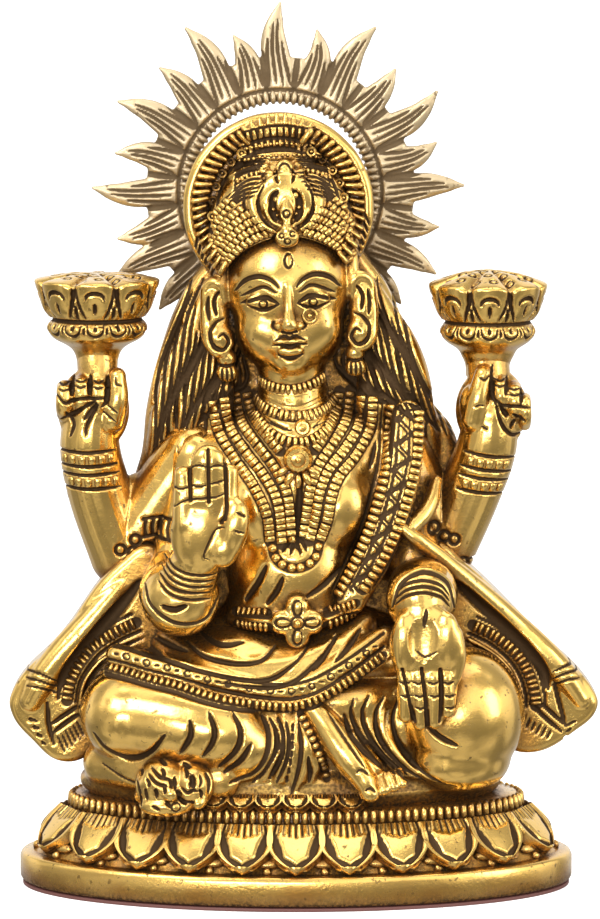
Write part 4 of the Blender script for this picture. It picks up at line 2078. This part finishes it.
def finish_piece(obj, material, drop=SETTLE):
    keep_under(obj)
    settle(obj, drop)
    dress(obj, material_named(material))


def hand_in(obj, drop=SETTLE):
    """Hands in a piece of the gold casting."""
    finish_piece(obj, "Polished Gold", drop)
    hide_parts("goddess_on_lotus_plinth")


class AddHead(bpy.types.Operator):
    """Add the head with its crown, cap and ears."""

    bl_idname = "goddess.add_head"
    bl_label = "Head and crown"

    def execute(self, context):
        grain = context.scene.goddess_sizes.grain
        face = fused([*face_forms(), *ear_forms(-1), *ear_forms(1)], "face_and_ears", grain * 0.72, 7)
        carve(face, face_cuts())
        cap = fused(cap_forms(), "cap_and_crown", grain * 0.75, 3)
        carve(cap, cap_cuts() + crest_cuts())
        keep_under(cap)
        trim = cap_trim(skin_of(cap)).make("cap_trim")
        throat = [(-7.0, 5.2), (-3.6, 3.9), (-0.4, 3.4), (3.2, 3.9), (6.4, 5.2)]
        link = small_block(2.0, 0.85, 0.9, 0.3)
        choker, skin = strung(face, [(throat, link, 1.1, 1.3, {"lift": 0.2})])
        stud(choker, skin, small_ring(1.35, 0.34, 20, 8), 4.1, 18.2, lift=0.2, flat=0.8)
        stud(choker, skin, small_bead(1.1, 1.1, 0.9, 12, 8), 4.1, 18.2, lift=0.1, flat=0.8)
        for obj in (face, cap, trim, choker.make("face_trim")):
            obj.data.transform(head_place())
            cut_back(obj)
            hand_in(obj)
        return {"FINISHED"}


class AddBody(bpy.types.Operator):
    """Add the body with the hair behind it, its necklaces and the shoulder sash."""

    bl_idname = "goddess.add_body"
    bl_label = "Body and hair"

    def execute(self, context):
        grain = context.scene.goddess_sizes.grain
        body = fused([*hair_forms(), *torso_forms()], "body_and_hair", grain, 4)
        cut_back(body)
        carve(body, body_cuts() + hair_cuts(-1) + hair_cuts(1) + armlet_cuts())
        carve(body, back_cuts(), facing=-0.5, side=1)
        tray, skin = strung(body, body_rows())
        body_studs(tray, skin)
        for obj in (body, tray.make("necklaces")):
            hand_in(obj)
        return {"FINISHED"}


class AddFrontHands(bpy.types.Operator):
    """Add the raised and the lowered hand in front."""

    bl_idname = "goddess.add_front_hands"
    bl_label = "Front hands"

    def execute(self, context):
        grain = context.scene.goddess_sizes.grain
        hands = fused([*blessing_forms(), *giving_forms()], "front_hands", grain * 0.75, 5)
        carve(hands, hand_cuts())
        hand_in(hands)
        return {"FINISHED"}


class AddRearArms(bpy.types.Operator):
    """Add the two arms behind the shoulders and the hands that hold the lotuses."""

    bl_idname = "goddess.add_rear_arms"
    bl_label = "Rear arms"

    def execute(self, context):
        grain = context.scene.goddess_sizes.grain
        arms = fused([*rear_arm_forms(RIGHT_ARM), *rear_arm_forms(LEFT_ARM)], "rear_arms", grain * 0.85, 5)
        cut_back(arms)
        carve(arms, rear_arm_cuts())
        tray, _ = strung(arms, rear_arm_rows())
        for obj in (arms, tray.make("bracelets")):
            hand_in(obj)
        for flower, name in ((LOTUS_RIGHT, "right_lotus"), (LOTUS_LEFT, "left_lotus")):
            hand_in(lotus(flower, name, grain * 0.85))
        return {"FINISHED"}


class AddLegs(bpy.types.Operator):
    """Add the crossed legs, the lap cloth, the side panels and the owl."""

    bl_idname = "goddess.add_legs"
    bl_label = "Legs and drapery"

    def execute(self, context):
        grain = context.scene.goddess_sizes.grain
        legs = fused([*leg_forms(), *lap_forms()], "legs_and_lap", grain, 4)
        cut_back(legs)
        carve(legs, leg_cuts() + lap_cuts())
        carve(legs, back_cuts(), facing=-0.5, side=1)
        hem = small_block(2.0, 1.0, 1.2, 0.4)
        knot = small_bead(2.1, 1.5, 1.5, 10, 6)
        rows = [
            (HEM, hem, 1.32, 0.9, {"lift": 0.1}),
            ([(0.9, 38.4), (2.5, 35.4), (4.1, 32.0), (5.3, 28.6), (6.1, 25.4)], knot, 1.5, 1.0),
        ]
        trim, _ = strung(legs, rows)
        panels = fused(side_panel_forms(), "side_panels", grain, 3)
        carve(panels, panel_cuts())
        carve(panels, back_cuts(), facing=-0.5, side=1)
        link = small_block(2.5, 0.9, 0.9, 0.4)
        beads, _ = strung(panels, [(strip, link, 1.15, 1.5, {"lift": 0.1}) for strip in BEAD_STRIPS])
        owl = fused(owl_forms(), "owl", grain * 0.7, 4)
        carve(owl, owl_cuts())
        for obj in (legs, trim.make("hem_beads"), panels, beads.make("panel_beads"), owl):
            hand_in(obj)
        return {"FINISHED"}


class AddPlinth(bpy.types.Operator):
    """Add the lotus plinth and its petals and beads."""

    bl_idname = "goddess.add_plinth"
    bl_label = "Lotus plinth"

    def execute(self, context):
        hand_in(plinth_body(), drop=0)
        hand_in(plinth_trim(), drop=0)
        return {"FINISHED"}


class AddHalo(bpy.types.Operator):
    """Add the sun halo."""

    bl_idname = "goddess.add_halo"
    bl_label = "Sun halo"

    def execute(self, context):
        grain = context.scene.goddess_sizes.grain
        halo = fused(halo_forms(), "halo", grain * 0.85, 2)
        cut_back(halo, HALO_BACK)
        carve(halo, halo_cuts())
        ring = [halo_point(6 * k, 20.4) for k in range(61)]
        carve(halo, [groove(ring, 0.5, 0.4, taper=False)])
        tray = Tray()
        bead = small_bead(1.4, 3.0, 1.8, 10, 6)
        upright = Matrix.Rotation(math.pi / 2, 4, "X")
        across = Matrix.Rotation(math.pi / 2, 4, "Z")
        for k in range(HALO_BEADS):
            degrees = 360 * k / HALO_BEADS
            x, z = halo_point(degrees, 18.95)
            turn = Matrix.Rotation(math.radians(90 - degrees), 4, "Y")
            tray.add(bead, Matrix.Translation((x, HALO_FRONT + 0.6, z)) @ turn @ upright @ across)
        for obj in (halo, tray.make("halo_beads")):
            finish_piece(obj, "Antique Gold")
            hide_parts("sun_halo")
        return {"FINISHED"}


class AddPlate(bpy.types.Operator):
    """Add the closing plate under the plinth."""

    bl_idname = "goddess.add_plate"
    bl_label = "Closing plate"

    def execute(self, context):
        bpy.ops.mesh.primitive_cylinder_add(vertices=160, radius=1, depth=1, location=(0, 0, 0))
        plate = bpy.context.object
        length, depth = PLINTH_HALF
        plate.scale = (length - 0.5, depth - 0.5, PLATE_TOP)
        plate.location = (0, 0, PLATE_TOP / 2)
        plate = joined([plate], "closing_plate")
        finish_modifier(plate, "BEVEL", width=0.15, segments=2, limit_method="ANGLE")
        bpy.ops.object.shade_smooth_by_angle(angle=math.radians(40))
        finish_piece(plate, "Maroon Paint", drop=0)
        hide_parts("base_plate")
        return {"FINISHED"}


# Each light's name, place, width, height and power
LIGHTS = [
    ("key_light", (-0.55, -0.75, 0.75), 0.5, 0.5, 5.2),
    ("fill_light", (0.85, -0.55, 0.35), 0.35, 0.7, 2.4),
    ("top_light", (0.1, -0.1, 0.95), 0.7, 0.5, 2.2),
    ("low_light", (-0.2, -0.95, 0.12), 0.5, 0.18, 2.8),
]
LIT_POINT = Vector((0, 0, 0.09))
FLOOR_GLOW = 0.62
SEEN_POINT = Vector((0.0008, 0, 0.0863))  # the middle of the picture
CAMERA_TILT = math.radians(8)


class AddStage(bpy.types.Operator):
    """Add the pale floor, the soft lights and the camera."""

    bl_idname = "goddess.add_stage"
    bl_label = "Stage"

    def execute(self, context):
        sizes = context.scene.goddess_sizes
        bpy.ops.mesh.primitive_plane_add(size=12, location=(0, 0, 0))
        floor = bpy.context.object
        floor.name = "floor"
        pale = plain_material("Pale Floor", PALE, 0.9)
        glow = pale.node_tree.nodes["Principled BSDF"].inputs
        glow["Emission Color"].default_value = (1, 1, 1, 1)
        glow["Emission Strength"].default_value = FLOOR_GLOW
        floor.data.materials.append(pale)
        floor.visible_glossy = False
        floor.visible_diffuse = False
        for name, place, width, height, power in LIGHTS:
            bpy.ops.object.light_add(type="AREA", location=place)
            lamp = bpy.context.object
            lamp.name = name
            lamp.data.shape = "RECTANGLE"
            lamp.data.size = width
            lamp.data.size_y = height
            lamp.data.energy = power
            lamp.rotation_euler = (LIT_POINT - Vector(place)).to_track_quat("-Z", "Y").to_euler()
        world = bpy.data.worlds.new("studio")
        context.scene.world = world
        world.use_nodes = True
        w = Wiring(world.node_tree)
        world.node_tree.nodes.clear()
        way = w.node("ShaderNodeTexCoord").outputs["Generated"]
        parts = w.node("ShaderNodeSeparateXYZ")
        w.link(way, parts.inputs[0])
        behind = w.spread(parts.outputs["Y"], -0.35, 0.75, 1.65, 1.1)
        above = w.spread(parts.outputs["Z"], -0.45, 0.4, 0.48, 1.05)
        cards = w.spread(w.noise(way, 1.7, 1.0, 0.5), 0.4, 0.6, 0.62, 0.0)
        cards = w.math("MULTIPLY", cards, w.spread(parts.outputs["Y"], 0.3, 0.8, 1.0, 0.0))
        above = w.math("MULTIPLY", above, w.math("SUBTRACT", 1.0, cards))
        room = w.node("ShaderNodeBackground")
        room.inputs["Color"].default_value = (1.0, 0.98, 0.95, 1)
        w.link(w.math("MULTIPLY", behind, above), room.inputs["Strength"])
        w.link(room.outputs[0], w.node("ShaderNodeOutputWorld").inputs[0])
        reach = sizes.camera_distance
        away = Vector((0, -reach * math.cos(CAMERA_TILT), reach * math.sin(CAMERA_TILT)))
        place = SEEN_POINT + away
        bpy.ops.object.camera_add(location=place)
        camera = bpy.context.object
        camera.data.lens = sizes.lens
        camera.data.sensor_width = 36
        camera.rotation_euler = (SEEN_POINT - place).to_track_quat("-Z", "Y").to_euler()
        context.scene.camera = camera
        context.scene.view_settings.view_transform = "Standard"
        return {"FINISHED"}


PIECES = (
    AddHead,
    AddBody,
    AddFrontHands,
    AddRearArms,
    AddLegs,
    AddPlinth,
    AddHalo,
    AddPlate,
    AddStage,
)


class GoddessPanel(bpy.types.Panel):
    """Lists the pieces and their settings"""

    bl_idname = "VIEW3D_PT_goddess"
    bl_label = "Seated Goddess"
    bl_space_type = "VIEW_3D"
    bl_region_type = "UI"
    bl_category = "Goddess"

    def draw(self, context):
        layout = self.layout
        for settings in (context.scene.goddess_sizes, context.scene.goddess_finish):
            for name in settings.bl_rna.properties.keys():
                if name not in ("rna_type", "name"):
                    layout.prop(settings, name)
        for piece in PIECES:
            layout.operator(piece.bl_idname)


CLASSES = (GoddessSizes, GoddessFinish, *PIECES, GoddessPanel)


def register():
    for cls in CLASSES:
        bpy.utils.register_class(cls)
    bpy.types.Scene.goddess_sizes = bpy.props.PointerProperty(type=GoddessSizes)
    bpy.types.Scene.goddess_finish = bpy.props.PointerProperty(type=GoddessFinish)


def unregister():
    del bpy.types.Scene.goddess_finish
    del bpy.types.Scene.goddess_sizes
    for cls in reversed(CLASSES):
        bpy.utils.unregister_class(cls)


def main():
    register()
    for piece in PIECES:
        group, name = piece.bl_idname.split(".")
        getattr(getattr(bpy.ops, group), name)()


if __name__ == "__main__":
    main()
